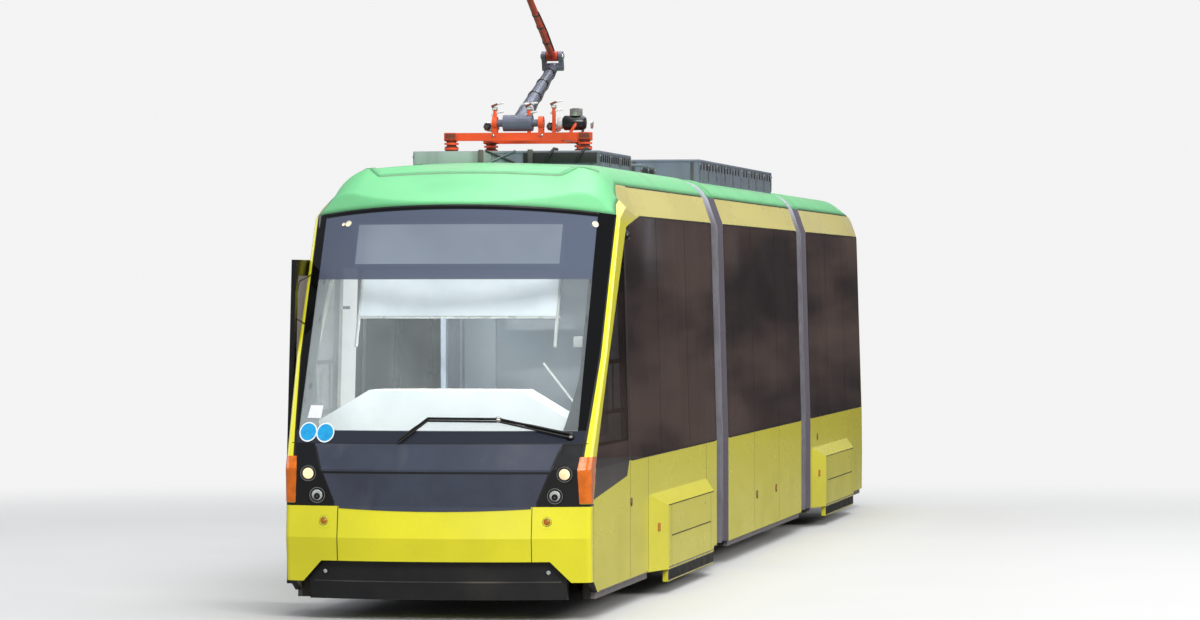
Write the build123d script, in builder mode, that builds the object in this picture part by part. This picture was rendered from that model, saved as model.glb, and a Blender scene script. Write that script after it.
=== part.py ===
from build123d import *
import os
from collections import namedtuple
from math import cos, radians, sin, sqrt

os.makedirs("parts", exist_ok=True)

# A three-section low-floor tram in millimetres.
# +X is forward, +Y is the vehicle's left and Z = 0 is where the wheels stand.

# Overall sizes
overall_length = 19500
cover_width = 2500
body_width = 2300
head_width = 2200
band_width = 2034
crown_width = 1560
nose_x = overall_length / 2
body_half = body_width / 2
cover_half = cover_width / 2

# Levels
hull_foot_z = 150
sill_z = 200
floor_z = 400
waist_z = 1123
glass_top_z = 3029
band_top_z = 3266
crown_z = 3430
roof_z = 3450
hull_head_z = 3600
shoulder_bulge = 32
least_corner = 15
rib_flank = 10

# Thicknesses and clearances
wall = 50
end_wall = 60
pane = 8
pane_bed = 0.5
floor_thickness = 70
seam = 6
running_clearance = 0.05
swing_clearance = 8
seat_clearance = 0.3

# Articulations
front_pivot_x = 2245
rear_pivot_x = -4085
front_gap = 770
rear_gap = 790
front_back_x = front_pivot_x + front_gap / 2
middle_front_x = front_pivot_x - front_gap / 2
middle_back_x = rear_pivot_x + rear_gap / 2
rear_front_x = rear_pivot_x - rear_gap / 2
gangway_width = 1200
gangway_top_z = 2500
turntable_radius = 520
pivot_radius = 60
tongue_radius = 150
tongue_depth = 110

# Bogies
front_bogie_x = 4950
rear_bogie_x = -6300
wheelbase = 1800
flange_radius = 335
tread_radius = 310
axle_z = flange_radius
well_length = 3000
well_top_z = 800
aisle_width = 680
aisle_floor_z = 520
panel = 40

# Front end
screen_foot_z = 1310
screen_top_z = 3100
screen_top_x = 8750
corner_top_z = 3020
corner_top_x = 8320
seam_advance = 22
lap = 70
bumper_top_z = 850
bumper_foot_z = 290
side_panel_x = 9400
apron_back_x = 9250

PlanLevel = namedtuple("PlanLevel", "z centre_x corner_x half_width rib_x rib_half")
RoofStation = namedtuple("RoofStation", "x edge_y edge_z band_y band_z crown_y crown_z top_z")
End = namedtuple("End", "open_x corner_radius levels stations")


def lean(low_value, low_z, high_value, high_z, z):
    """The value at a height on the straight line through two points."""
    return low_value + (high_value - low_value) * (z - low_z) / (high_z - low_z)


head_half = head_width / 2
band_half = band_width / 2
crown_half = crown_width / 2
hull_head_half = lean(body_half, waist_z, head_half, glass_top_z, hull_head_z)

# The nose in plan, level by level: centre and corner lean back above the waist, where a raised
# rib also stands out from the side walls to frame the windscreen.
nose_centre_x = nose_x - 60
nose_corner_x = nose_x - 207
rib_half = 1187
rib_root = 2
rib_knee_z = 1950
rib_foot_x = 9300
rib_waist = (9317, waist_z)
rib_knee = (8871, rib_knee_z)
rib_top = (8000, 2970)


def rib_x(z):
    """Where the rear flank of the nose rib stands at a height."""
    low, high = (rib_waist, rib_knee) if z < rib_knee_z else (rib_knee, rib_top)
    return lean(low[0], low[1], high[0], high[1], z)


def upper_level(z, half_out):
    """A level of the nose above the waist."""
    return PlanLevel(
        z,
        lean(nose_centre_x, waist_z, screen_top_x, screen_top_z, z),
        lean(nose_corner_x, waist_z, corner_top_x, corner_top_z, z),
        lean(body_half, waist_z, head_half, glass_top_z, z),
        rib_x(z),
        half_out,
    )


nose_levels = [
    PlanLevel(hull_foot_z, nose_x - 50, nose_x - 270, body_half, rib_foot_x, body_half + rib_root),
    PlanLevel(617, nose_x, nose_x - 210, body_half, rib_foot_x, body_half + rib_root),
    PlanLevel(bumper_top_z, nose_x - 50, nose_x - 230, body_half, rib_foot_x, body_half + rib_root),
    upper_level(waist_z, body_half + rib_root),
    upper_level(rib_knee_z, rib_half),
    upper_level(hull_head_z, rib_half),
]
plain_roof = RoofStation(
    0, head_half, glass_top_z, band_half, band_top_z, crown_half, crown_z, roof_z
)
nose_stations = [
    plain_roof._replace(x=front_back_x),
    plain_roof._replace(x=7000),
    RoofStation(7650, 1120, 3040, 1045, 3245, 865, 3400, 3440),
    RoofStation(8050, 1175, 3095, 1090, 3180, 845, 3385, 3415),
    RoofStation(corner_top_x, 1150, 3035, 1075, 3110, 815, 3265, 3300),
    RoofStation(screen_top_x, 1150, 2900, 1060, 2945, 790, 3055, 3110),
    RoofStation(nose_x + 50, 1150, 2420, 1060, 2465, 790, 2575, 2630),
]
nose = End(front_back_x, 60, nose_levels, nose_stations)

# The tail, measured forwards from the same origin and mirrored at the end.
tail_rib_x = nose_x - 500


def tail_level(z, centre_back, corner_back, half):
    """A level of the tail, whose sides run straight to the corner."""
    return PlanLevel(z, nose_x - centre_back, nose_x - corner_back, half, tail_rib_x, half)


tail_levels = [
    tail_level(hull_foot_z, 40, 160, body_half),
    tail_level(617, 0, 120, body_half),
    tail_level(waist_z, 40, 160, body_half),
    tail_level(hull_head_z, 130, 250, hull_head_half),
]
tail_stations = [
    plain_roof._replace(x=-rear_front_x),
    plain_roof._replace(x=8730),
    plain_roof._replace(x=9500, edge_z=3010, band_z=3225, crown_z=3360, top_z=3385),
    plain_roof._replace(x=nose_x + 50, edge_z=2900, band_z=3060, crown_z=3180, top_z=3205),
]
tail = End(-rear_front_x, 160, tail_levels, tail_stations)


def roof_section(station, inset):
    """The closed cross-section under the roof at one station, drawn in by the inset."""
    side_y = body_half + wall - inset
    edge_y = station.edge_y - inset
    edge_z = station.edge_z - 0.3 * inset
    band_y = station.band_y - inset
    band_z = station.band_z - 0.35 * inset
    crown_y = station.crown_y - 0.35 * inset
    crown_height = station.crown_z - 0.93 * inset
    low_z = lean(edge_z, edge_y, band_z, band_y, side_y)
    bulge_y = (band_y + crown_y) / 2 + 0.57 * shoulder_bulge
    bulge_z = (band_z + crown_height) / 2 + 0.82 * shoulder_bulge
    with BuildSketch(Plane.YZ.offset(station.x)) as section:
        with BuildLine():
            Polyline(
                (-band_y, band_z), (-side_y, low_z), (-side_y, 0),
                (side_y, 0), (side_y, low_z), (band_y, band_z),
            )
            ThreePointArc((band_y, band_z), (bulge_y, bulge_z), (crown_y, crown_height))
            ThreePointArc((crown_y, crown_height), (0, station.top_z - inset), (-crown_y, crown_height))
            ThreePointArc((-crown_y, crown_height), (-bulge_y, bulge_z), (-band_y, band_z))
        make_face()
    return section.sketch


def plan_arc(level, inset):
    """Centre x, corner x and half width of a plan outline drawn in by the inset."""
    sag = level.centre_x - level.corner_x
    radius = (level.rib_half**2 + sag**2) / (2 * sag)
    half = level.rib_half - inset
    corner_x = level.centre_x - radius + sqrt((radius - inset) ** 2 - half**2)
    return level.centre_x - inset, corner_x, half


def end_hull(end, inset, start_x):
    """The closed outer form of an end section, drawn in by the inset, from start_x forwards."""
    with BuildPart() as form:
        for level in end.levels:
            centre_x, corner_x, half = plan_arc(level, inset)
            side = level.half_width - inset
            flank_x = level.rib_x + inset / 4
            with BuildSketch(Plane.XY.offset(level.z)) as outline:
                with BuildLine():
                    Polyline(
                        (corner_x, -half), (flank_x + rib_flank, -half), (flank_x, -side), (start_x, -side),
                        (start_x, side), (flank_x, side), (flank_x + rib_flank, half), (corner_x, half),
                    )
                    ThreePointArc((corner_x, half), (centre_x, 0), (corner_x, -half))
                make_face()
                fillet(outline.vertices().group_by(Axis.X)[-1], max(end.corner_radius - inset, least_corner))
        loft(ruled=True)
        loft([roof_section(station, inset).face() for station in end.stations], ruled=True, mode=Mode.INTERSECT)
    return form.part


def straight_hull(x_low, x_high, inset):
    """The same cross-section run straight between two planes."""
    low_half = body_half - inset
    high_half = hull_head_half - inset
    with BuildPart() as form:
        with BuildSketch(Plane.YZ.offset(x_low)):
            with BuildLine():
                Polyline(
                    (-low_half, hull_foot_z), (low_half, hull_foot_z), (low_half, waist_z),
                    (high_half, hull_head_z), (-high_half, hull_head_z), (-low_half, waist_z),
                    close=True,
                )
            make_face()
        extrude(amount=x_high - x_low)
        plain_station = plain_roof._replace(x=x_low)
        extrude(roof_section(plain_station, inset), amount=x_high - x_low, mode=Mode.INTERSECT)
    return form.part


def side_block(outline, y_low, y_high):
    """A block with this outline in side view, between two upright planes."""
    with BuildPart() as block:
        with BuildSketch(Plane.XZ.offset(-y_high)):
            with BuildLine():
                Polyline(*outline, close=True)
            make_face()
        extrude(amount=y_high - y_low)
    return block.part


def front_block(outline, x_low, x_high):
    """A block with this outline seen from the front, between two cross planes."""
    with BuildPart() as block:
        with BuildSketch(Plane.YZ.offset(x_low)):
            with BuildLine():
                Polyline(*outline, close=True)
            make_face()
        extrude(amount=x_high - x_low)
    return block.part


def box_between(x_low, x_high, y_low, y_high, z_low, z_high):
    """A plain block between two opposite corners."""
    with BuildPart() as block:
        with Locations(((x_low + x_high) / 2, (y_low + y_high) / 2, (z_low + z_high) / 2)):
            Box(x_high - x_low, y_high - y_low, z_high - z_low)
    return block.part


def rectangle_outline(x_low, x_high, z_low, z_high):
    """Corners of an upright rectangle in side view."""
    return [(x_low, z_low), (x_high, z_low), (x_high, z_high), (x_low, z_high)]


def finish(piece, name):
    """Label a finished piece and write it."""
    piece.label = name
    export_step(piece, f"parts/{name}.step")


outside = cover_half + 200

# Front section: nested forms
front_outer = end_hull(nose, 0, front_back_x)
front_pane_back = end_hull(nose, pane, front_back_x)
front_bed = end_hull(nose, pane + pane_bed, front_back_x)
front_inner = end_hull(nose, wall, front_back_x + end_wall)

# Seam round the windscreen just inside the rib, in side view
seam_low = (nose_corner_x + seam_advance, waist_z)
seam_high = (corner_top_x + seam_advance, corner_top_z)


def seam_x(z):
    """Where the corner seam lies at a height."""
    return lean(seam_low[0], seam_low[1], seam_high[0], seam_high[1], z)


# The yellow stripe over the cab: its edges in side view, with the corner lens at its foot
arch_foot_z = 870
arch_foot_x = 9545
lens_back_x = 9430
lens_top_z = 1220
arch_lap = 12
arch_heel_x = 6830
arch_gap = 12
arch_shoulder_z = 2700
arch_crest = [(7600, band_top_z), (7900, 3185), (8180, 3100)]
eyebrow = [(7740, 2900), (7360, 2960)]
arch_rear_edge = [(lens_back_x, arch_foot_z)]
arch_rear_edge += [(rib_x(z) - arch_lap, z) for z in (lens_top_z, rib_knee_z, arch_shoulder_z)]
arch_rear_edge += eyebrow + [(arch_heel_x, glass_top_z)]
arch_outline = (
    arch_crest + [seam_high, seam_low, (arch_foot_x, arch_foot_z)] + arch_rear_edge
    + [(arch_heel_x, band_top_z)]
)

# Regions of the front end in side view, ahead of the corner seam
front_limit_x = nose_x + 100
screen_limit = (front_limit_x, lean(corner_top_z, corner_top_x, screen_top_z, screen_top_x, front_limit_x))
screen_region = [
    (seam_x(screen_foot_z), screen_foot_z), (front_limit_x, screen_foot_z), screen_limit, seam_high,
]
fascia_region = [
    (side_panel_x, bumper_top_z), (front_limit_x, bumper_top_z),
    (front_limit_x, screen_foot_z), (seam_x(screen_foot_z), screen_foot_z),
    seam_low, (arch_foot_x, arch_foot_z), (side_panel_x, arch_foot_z),
]
bumper_region = rectangle_outline(side_panel_x, front_limit_x, bumper_foot_z, bumper_top_z)
roof_region = [(front_back_x, band_top_z)] + arch_crest + [
    seam_high, screen_limit, (front_limit_x, hull_head_z), (front_back_x, hull_head_z),
]
sill_front_x = 9200
side_region = (
    [(front_back_x, sill_z), (sill_front_x, sill_z), (side_panel_x, bumper_foot_z), (side_panel_x, arch_foot_z)]
    + arch_rear_edge
    + [(arch_heel_x, band_top_z), (front_back_x, band_top_z)]
)

# Side glazing of the front section, in side view
pillar_x = 7560
pillar_width = 90
front_glass_x = front_back_x + end_wall
glass_margin = 25
cab_glass_edge = [(lens_back_x - 1.4 * glass_margin, arch_foot_z + glass_margin)]
cab_glass_edge += [(x - glass_margin, z - glass_margin / 2) for x, z in arch_rear_edge[1:4]]
cab_glass = [(pillar_x + pillar_width, waist_z), (7760, 1010)] + cab_glass_edge + [
    (7722, 2880), (pillar_x + pillar_width, 2895),
]


def saloon_band(x_high, margin):
    """The edges of the front section's glass band up to an upright at x_high, drawn in by a margin."""
    right = x_high - margin
    top = glass_top_z - margin
    edge = [
        (eyebrow[1][0], eyebrow[1][1] - arch_gap - margin), (arch_heel_x - 4 * arch_gap - margin, top),
    ]
    corner_z = lean(edge[1][1], edge[1][0], edge[0][1], edge[0][0], right)
    upper = [(right, min(corner_z, top))] + [point for point in edge if point[0] < right - 1]
    return [(front_glass_x + margin, waist_z + margin), (right, waist_z + margin)] + upper + [
        (front_glass_x + margin, top)
    ]


# Doorway and its open leaf, on the right
doorway_x = 7100
doorway_width = 780
doorway_foot_z = 250
doorway_top_z = 2620
leaf_shift_x = 1070
leaf_shift_y = -125
leaf_thickness = 36


def pane_bounds(x_low, x_high, count, joint):
    """Low and high x of each of several equal panes in a row."""
    pitch = (x_high - x_low + joint) / count
    return [(x_low + index * pitch, x_low + (index + 1) * pitch - joint) for index in range(count)]


pane_joint = 14
aperture_margin = 55
aperture_foot_z = 1230
aperture_top_z = 2900
front_left_panes = pane_bounds(front_glass_x + 10, pillar_x - 10, 3, pane_joint)
front_right_panes = pane_bounds(front_glass_x + 10, doorway_x - 60, 3, pane_joint)
cab_aperture_edge = [(9110, 1300), (8720, 1980), (8120, 2640)]
cab_aperture = [(pillar_x + 150, 1300)] + cab_aperture_edge + [(7735, 2800)]
cab_aperture_right = [(8000, 1300)] + cab_aperture_edge + [(8000, 2700)]

# Bogie opening behind the covers
cover_wall_front = 1680
cover_wall_back = 1620
cover_face_front = 1280
cover_face_back = 1390
cover_slope_z = 720
cover_head_z = 815
skirt_foot_z = 100
well_half = well_length / 2
wheel_opening_half = 1250
wheel_opening_top_z = 700


def wall_side(shell, bed, region, glazing, apertures, opening_x, sign):
    """One side wall: the shell inside a region, bedded for glass, with windows cut through."""
    y_low = 0 if sign > 0 else -outside
    with BuildPart() as side:
        add(shell)
        add(side_block(region, y_low, y_low + outside), mode=Mode.INTERSECT)
        for outline in glazing:
            add(side_block(outline, y_low, y_low + outside) - bed, mode=Mode.SUBTRACT)
        for outline in apertures:
            add(side_block(outline, y_low, y_low + outside), mode=Mode.SUBTRACT)
        if opening_x is not None:
            opening = rectangle_outline(
                opening_x - wheel_opening_half, opening_x + wheel_opening_half, 0, wheel_opening_top_z
            )
            add(side_block(opening, y_low, y_low + outside), mode=Mode.SUBTRACT)
    return side.part


def pane_apertures(bounds):
    """Window cuts inside a row of panes."""
    return [
        rectangle_outline(low + aperture_margin, high - aperture_margin, aperture_foot_z, aperture_top_z)
        for low, high in bounds
    ]


def pane_outlines(bounds):
    """The panes' own edges in side view."""
    return [
        rectangle_outline(low, high, waist_z + seam, glass_top_z - seam) for low, high in bounds
    ]


gangway_cut = box_between(-outside * 4, outside * 4, -gangway_width / 2, gangway_width / 2, 0, gangway_top_z)
front_shell = front_outer - front_inner - gangway_cut.intersect(
    box_between(front_back_x - 10, front_back_x + end_wall + 10, -outside, outside, 0, hull_head_z)
)
doorway_outline = rectangle_outline(doorway_x, doorway_x + doorway_width, doorway_foot_z, doorway_top_z)

# Front side walls
front_side_left = wall_side(
    front_shell, front_bed, side_region, [saloon_band(pillar_x, 0), cab_glass],
    pane_apertures(front_left_panes) + [cab_aperture], front_bogie_x, 1,
)
finish(front_side_left, "front_side_left")

right_pillar_x = doorway_x - 50
right_glass_x = doorway_x + doorway_width + 60
right_cab_glass = [(right_glass_x, 1080)] + cab_glass_edge + [(right_glass_x, 2780)]
front_side_right = wall_side(
    front_shell, front_bed, side_region, [saloon_band(right_pillar_x, 0), right_cab_glass],
    pane_apertures(front_right_panes) + [cab_aperture_right, doorway_outline], front_bogie_x, -1,
)
finish(front_side_right, "front_side_right")

# Front side glass, with the pane of the open leaf
leaf_outline = rectangle_outline(
    doorway_x + seam, doorway_x + doorway_width - seam, doorway_foot_z - 20, doorway_top_z + 60
)
leaf_pane = rectangle_outline(
    doorway_x + 90, doorway_x + doorway_width - 90, 560, doorway_top_z - 60
)
leaf_move = Pos(leaf_shift_x, leaf_shift_y, 0)
leaf_inner = end_hull(nose, leaf_thickness, front_back_x)
with BuildPart() as front_side_glass:
    add(side_block(saloon_band(pillar_x, seam), 0, outside))
    for low, high in front_left_panes[1:]:
        add(box_between(low - pane_joint, low, 0, outside, 0, hull_head_z), mode=Mode.SUBTRACT)
    add(side_block(cab_glass, 0, outside))
    add(side_block(saloon_band(right_pillar_x, seam), -outside, 0))
    for low, high in front_right_panes[1:]:
        add(box_between(low - pane_joint, low, -outside, 0, 0, hull_head_z), mode=Mode.SUBTRACT)
    add(side_block(right_cab_glass, -outside, 0))
    add(front_outer, mode=Mode.INTERSECT)
    add(front_pane_back, mode=Mode.SUBTRACT)
    add(leaf_move * (side_block(leaf_pane, -outside, 0) & (front_outer - front_pane_back)))
finish(front_side_glass.part, "front_side_glass")

# Open plug leaf, with two cranked arms that carry it from the doorway's front post
arm_width = 36
arm_depth = 24
arm_levels = [620, 2300]
arm_post_x = doorway_x + doorway_width - arm_width - seat_clearance
arm_leaf_x = doorway_x + leaf_shift_x + 30
arm_grip = 10


def side_y(z):
    """Half width of the side wall's outer face at a height."""
    return lean(body_half, waist_z, head_half, glass_top_z, max(z, waist_z))


with BuildPart() as front_door:
    add(leaf_move * (
        (side_block(leaf_outline, -outside, 0) & (front_outer - leaf_inner)) - side_block(leaf_pane, -outside, 0)
    ))
    for level in arm_levels:
        post_y = -(side_y(level) - 2 * wall)
        elbow_y = -(side_y(level) + 12)
        grip_y = -(side_y(level) - leaf_thickness) + leaf_shift_y - arm_grip
        with BuildSketch(Plane.XY.offset(level)):
            with BuildLine():
                Polyline(
                    (arm_post_x, post_y), (arm_post_x + arm_width, post_y),
                    (arm_post_x + arm_width, elbow_y), (arm_leaf_x + arm_width, grip_y + 2 * arm_grip),
                    (arm_leaf_x + arm_width, grip_y), (arm_leaf_x, grip_y),
                    (arm_post_x, elbow_y - 2 * arm_grip), close=True,
                )
            make_face()
        extrude(amount=arm_depth)
finish(front_door.part, "front_door")

# Front roof with the dome
with BuildPart() as front_roof:
    add(front_shell)
    add(side_block(roof_region, -outside, outside), mode=Mode.INTERSECT)
finish(front_roof.part, "front_roof")

# Yellow arches and the frame that holds the windscreen
screen_core = [
    (seam_x(screen_foot_z) - lap, screen_foot_z + lap), (front_limit_x, screen_foot_z + lap),
    (front_limit_x, screen_limit[1] - lap), (seam_high[0] - lap, seam_high[1] - lap),
]
screen_window_half = 1010
lamp_field_half = 1045
with BuildPart() as front_arches:
    add(side_block(screen_region, -outside, outside))
    add(front_bed, mode=Mode.INTERSECT)
    add(side_block(screen_core, -screen_window_half, screen_window_half), mode=Mode.SUBTRACT)
    add(side_block(arch_outline, -outside, outside) & front_outer)
    add(front_inner, mode=Mode.SUBTRACT)
    add(box_between(
        sill_front_x, front_limit_x, -lamp_field_half, lamp_field_half, bumper_foot_z, screen_foot_z - arch_lap,
    ), mode=Mode.SUBTRACT)
finish(front_arches.part, "front_arches")

with BuildPart() as windscreen:
    add(side_block(screen_region, -outside, outside))
    add(front_outer, mode=Mode.INTERSECT)
    add(front_pane_back, mode=Mode.SUBTRACT)
finish(windscreen.part, "windscreen")


def nose_surface_x(y, z):
    """Where the nose's outer face lies at a place seen from the front."""
    for low, high in zip(nose_levels, nose_levels[1:]):
        if z <= high.z:
            break
    centre_x = lean(low.centre_x, low.z, high.centre_x, high.z, z)
    corner_x = lean(low.corner_x, low.z, high.corner_x, high.z, z)
    half = lean(low.rib_half, low.z, high.rib_half, high.z, z)
    sag = centre_x - corner_x
    radius = (half**2 + sag**2) / (2 * sag)
    return centre_x - radius + sqrt(radius**2 - y**2)


# Fascia: an upper panel and a lower flap, parted by a seam, with holes for the lamps
Lamp = namedtuple("Lamp", "y z radius")
head_lamps = [Lamp(965, 1090, 62), Lamp(895, 930, 62)]
turn_lamps = [Lamp(840, 740, 34)]
flap_top_z = 1097
lamp_clearance = 0.5
lamp_depth = 110
with BuildPart() as fascia:
    add(side_block(fascia_region, -outside, outside))
    add(front_outer, mode=Mode.INTERSECT)
    add(front_inner, mode=Mode.SUBTRACT)
    with Locations((nose_x, 0, flap_top_z)):
        Box(2000, 2 * screen_window_half - 360, seam, mode=Mode.SUBTRACT)
    for lamp in head_lamps:
        for side in (-1, 1):
            with Locations(Plane.YZ.offset(nose_x - 500) * Pos(side * lamp.y, lamp.z)):
                Cylinder(lamp.radius + lamp_clearance, 1500, mode=Mode.SUBTRACT)
finish(fascia.part, "fascia")

# Bumper: a centre and two corners, its foot cut back over the apron
bumper_seam_y = 730
recess_top_z = 446
recess_half = 860
recess_foot_half = 1010
recess = [(-recess_foot_half, 0), (recess_foot_half, 0), (recess_foot_half, bumper_foot_z),
          (recess_half, recess_top_z), (-recess_half, recess_top_z), (-recess_foot_half, bumper_foot_z)]
with BuildPart() as bumper:
    add(side_block(bumper_region, -outside, outside))
    add(front_outer, mode=Mode.INTERSECT)
    add(front_inner, mode=Mode.SUBTRACT)
    add(front_block(recess, side_panel_x, front_limit_x), mode=Mode.SUBTRACT)
    for side in (-1, 1):
        with Locations((nose_x, side * bumper_seam_y, bumper_top_z / 2)):
            Box(800, seam, 2 * bumper_top_z, mode=Mode.SUBTRACT)
        for lamp in turn_lamps:
            with Locations(Plane.YZ.offset(nose_x - 500) * Pos(side * lamp.y, lamp.z)):
                Cylinder(lamp.radius + lamp_clearance, 1500, mode=Mode.SUBTRACT)
finish(bumper.part, "bumper")

# Apron: the black panel under and behind the bumper
apron_foot_z = 160
with BuildPart() as apron:
    add(side_block(rectangle_outline(apron_back_x, front_limit_x, apron_foot_z, recess_top_z), -970, 970))
    add(end_hull(nose, wall + 0.5, front_back_x), mode=Mode.INTERSECT)
    add(end_hull(nose, wall + 60, front_back_x), mode=Mode.SUBTRACT)
finish(apron.part, "apron")

# Front lamps
with BuildPart() as front_lamps:
    for lamp in head_lamps + turn_lamps:
        for side in (-1, 1):
            face_x = nose_surface_x(lamp.y, lamp.z)
            with Locations(Plane.YZ.offset(face_x - lamp_depth / 2) * Pos(side * lamp.y, lamp.z)):
                Cylinder(lamp.radius, lamp_depth)
finish(front_lamps.part, "front_lamps")


def bogie_cover(centre_x, sign, side):
    """One bulged cover over a bogie with its skirt, for an end section facing the sign."""
    def forms(inset):
        y_out = cover_half - inset
        lift = inset
        section = [
            (body_half, sill_z), (y_out, sill_z), (y_out, cover_slope_z - lift), (body_half, cover_head_z - lift),
        ]
        plan = [
            (centre_x - sign * (cover_wall_back - inset), body_half),
            (centre_x - sign * (cover_face_back - inset), y_out),
            (centre_x + sign * (cover_face_front - inset), y_out),
            (centre_x + sign * (cover_wall_front - inset), body_half),
        ]
        flipped_section = [(side * y, z) for y, z in section]
        reach = cover_wall_front + 100
        block = front_block(flipped_section, centre_x - reach, centre_x + reach)
        with BuildPart() as trim:
            with BuildSketch(Plane.XY):
                with BuildLine():
                    Polyline(*[(x, side * y) for x, y in plan], close=True)
                make_face()
            extrude(amount=hull_head_z)
        return block & trim.part

    skirt_ends = sorted((centre_x - sign * cover_face_back, centre_x + sign * cover_face_front))
    skirt_sides = sorted((side * (cover_half - 50), side * (cover_half - 8)))
    skirt = box_between(skirt_ends[0], skirt_ends[1], skirt_sides[0], skirt_sides[1], skirt_foot_z, sill_z)
    lower_inner = box_between(-overall_length, overall_length, -body_half, body_half, 0, hull_head_z)
    return (forms(0) - forms(panel)) + skirt - lower_inner


def covers(centre_x, sign):
    """Both covers of a bogie."""
    with BuildPart() as pair:
        for side in (-1, 1):
            add(bogie_cover(centre_x, sign, side))
    return pair.part


finish(covers(front_bogie_x, 1), "front_bogie_covers")
finish(covers(rear_bogie_x, 1), "rear_bogie_covers")


root_length = 160


def tongue(pivot_x, reach_x):
    """The draw tongue under a gangway, with its bore on the pivot."""
    top_z = floor_z - floor_thickness - swing_clearance
    with BuildPart() as bar:
        with BuildSketch(Plane.XY.offset(top_z - tongue_depth)):
            with Locations((pivot_x, 0)):
                Circle(tongue_radius)
            with Locations(((pivot_x + reach_x) / 2, 0)):
                Rectangle(abs(reach_x - pivot_x), 2 * tongue_radius)
        extrude(amount=tongue_depth)
        with BuildSketch(Plane.XY.offset(top_z - tongue_depth)):
            with Locations((reach_x, 0)):
                Rectangle(root_length, 2 * tongue_radius)
        extrude(amount=tongue_depth + swing_clearance + floor_thickness / 2)
        with Locations((pivot_x, 0, top_z - tongue_depth / 2)):
            Cylinder(pivot_radius + running_clearance, 2 * tongue_depth, mode=Mode.SUBTRACT)
    return bar.part


def turntable(pivot_x, reach_x):
    """The round gangway floor on a pivot, with its pin, joined back to its own section."""
    with BuildPart() as table:
        with BuildSketch(Plane.XY.offset(floor_z - floor_thickness)):
            with Locations((pivot_x, 0)):
                Circle(turntable_radius)
            with Locations(((pivot_x + reach_x) / 2, 0)):
                Rectangle(abs(reach_x - pivot_x), 2 * turntable_radius)
        extrude(amount=floor_thickness)
        with BuildSketch(Plane.XY.offset(floor_z - floor_thickness)):
            with Locations((pivot_x, 0)):
                Circle(pivot_radius)
        extrude(amount=-(tongue_depth + 2 * swing_clearance))
    return table.part


aisle_floor_depth = 60
pin_drop = 200


def wheel_boxes(centre_x):
    """Hollow boxes over the wheels each side of a raised aisle, with the bogie's pin below it."""
    aisle_half = aisle_width / 2
    aisle_half_in = aisle_half + panel
    inner_wall_y = body_half - wall
    low_z = floor_z - floor_thickness
    aisle_low_z = aisle_floor_z - aisle_floor_depth
    cavity_half = well_half - panel
    cavity = (centre_x - cavity_half, centre_x + cavity_half)
    with BuildPart() as boxes:
        for side in (-1, 1):
            y_low, y_high = sorted((side * aisle_half, side * inner_wall_y))
            add(box_between(centre_x - well_half, centre_x + well_half, y_low, y_high, low_z, well_top_z))
            y_low, y_high = sorted((side * aisle_half_in, side * outside))
            add(box_between(*cavity, y_low, y_high, 0, well_top_z - panel), mode=Mode.SUBTRACT)
        add(box_between(
            centre_x - well_half, centre_x + well_half, -aisle_half, aisle_half, low_z, aisle_floor_z
        ))
        add(box_between(*cavity, -outside, outside, 0, aisle_low_z), mode=Mode.SUBTRACT)
        with BuildSketch(Plane.XY.offset(aisle_low_z)):
            with Locations((centre_x, 0)):
                Circle(pivot_radius)
        extrude(amount=-pin_drop)
    return boxes.part


ramp_length = 600
short_ramp_length = 160


def aisle_ramps(centre_x, aft_length, fore_length):
    """Ramps from the low floor up to the aisle over a bogie."""
    rise = aisle_floor_z - floor_z
    with BuildPart() as ramps:
        for sign, length in ((-1, aft_length), (1, fore_length)):
            foot_x = centre_x + sign * (well_half + length)
            head_x = centre_x + sign * well_half
            add(side_block(
                [(foot_x, floor_z), (head_x, floor_z - 40), (head_x, floor_z + rise)],
                -aisle_width / 2, aisle_width / 2,
            ))
    return ramps.part


sill_width = 60
sill_lip = 30


def sills(x_low, x_high):
    """Grey sills under both side walls between two planes."""
    low_z = floor_z - floor_thickness
    inner_y = body_half - wall - sill_width
    with BuildPart() as strips:
        for side in (-1, 1):
            with Locations(((x_low + x_high) / 2, side * (inner_y + sill_width / 2), (hull_foot_z + low_z) / 2)):
                Box(x_high - x_low, sill_width, low_z - hull_foot_z)
            with Locations((
                (x_low + x_high) / 2, side * (body_half - wall + sill_lip / 2), (hull_foot_z + sill_z) / 2,
            )):
                Box(x_high - x_low, sill_lip, sill_z - hull_foot_z)
    return strips.part


def end_floor(inner, bogie_x, pivot_x, back_x, sign, ramp_lengths):
    """The underframe of an end section: floor, well, sills, tongue and gangway edge."""
    low_z = floor_z - floor_thickness
    edge_x = back_x - sign * 100
    gang_low, gang_high = sorted((edge_x, back_x + sign * (end_wall + 10)))
    with BuildPart() as frame:
        add(inner)
        add(box_between(-nose_x, nose_x, -outside, outside, low_z, floor_z), mode=Mode.INTERSECT)
        add(box_between(gang_low, gang_high, -gangway_width / 2, gangway_width / 2, low_z, floor_z))
        add(
            box_between(
                bogie_x - well_half + panel, bogie_x + well_half - panel, -outside, outside, 0, floor_z + 10
            ),
            mode=Mode.SUBTRACT,
        )
        with Locations((pivot_x, 0, floor_z)):
            Cylinder(turntable_radius + swing_clearance, 4 * floor_thickness, mode=Mode.SUBTRACT)
        add(wheel_boxes(bogie_x))
        add(aisle_ramps(bogie_x, *ramp_lengths))
        add(tongue(pivot_x, pivot_x + sign * (turntable_radius + swing_clearance + 100)))
    return frame.part


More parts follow.
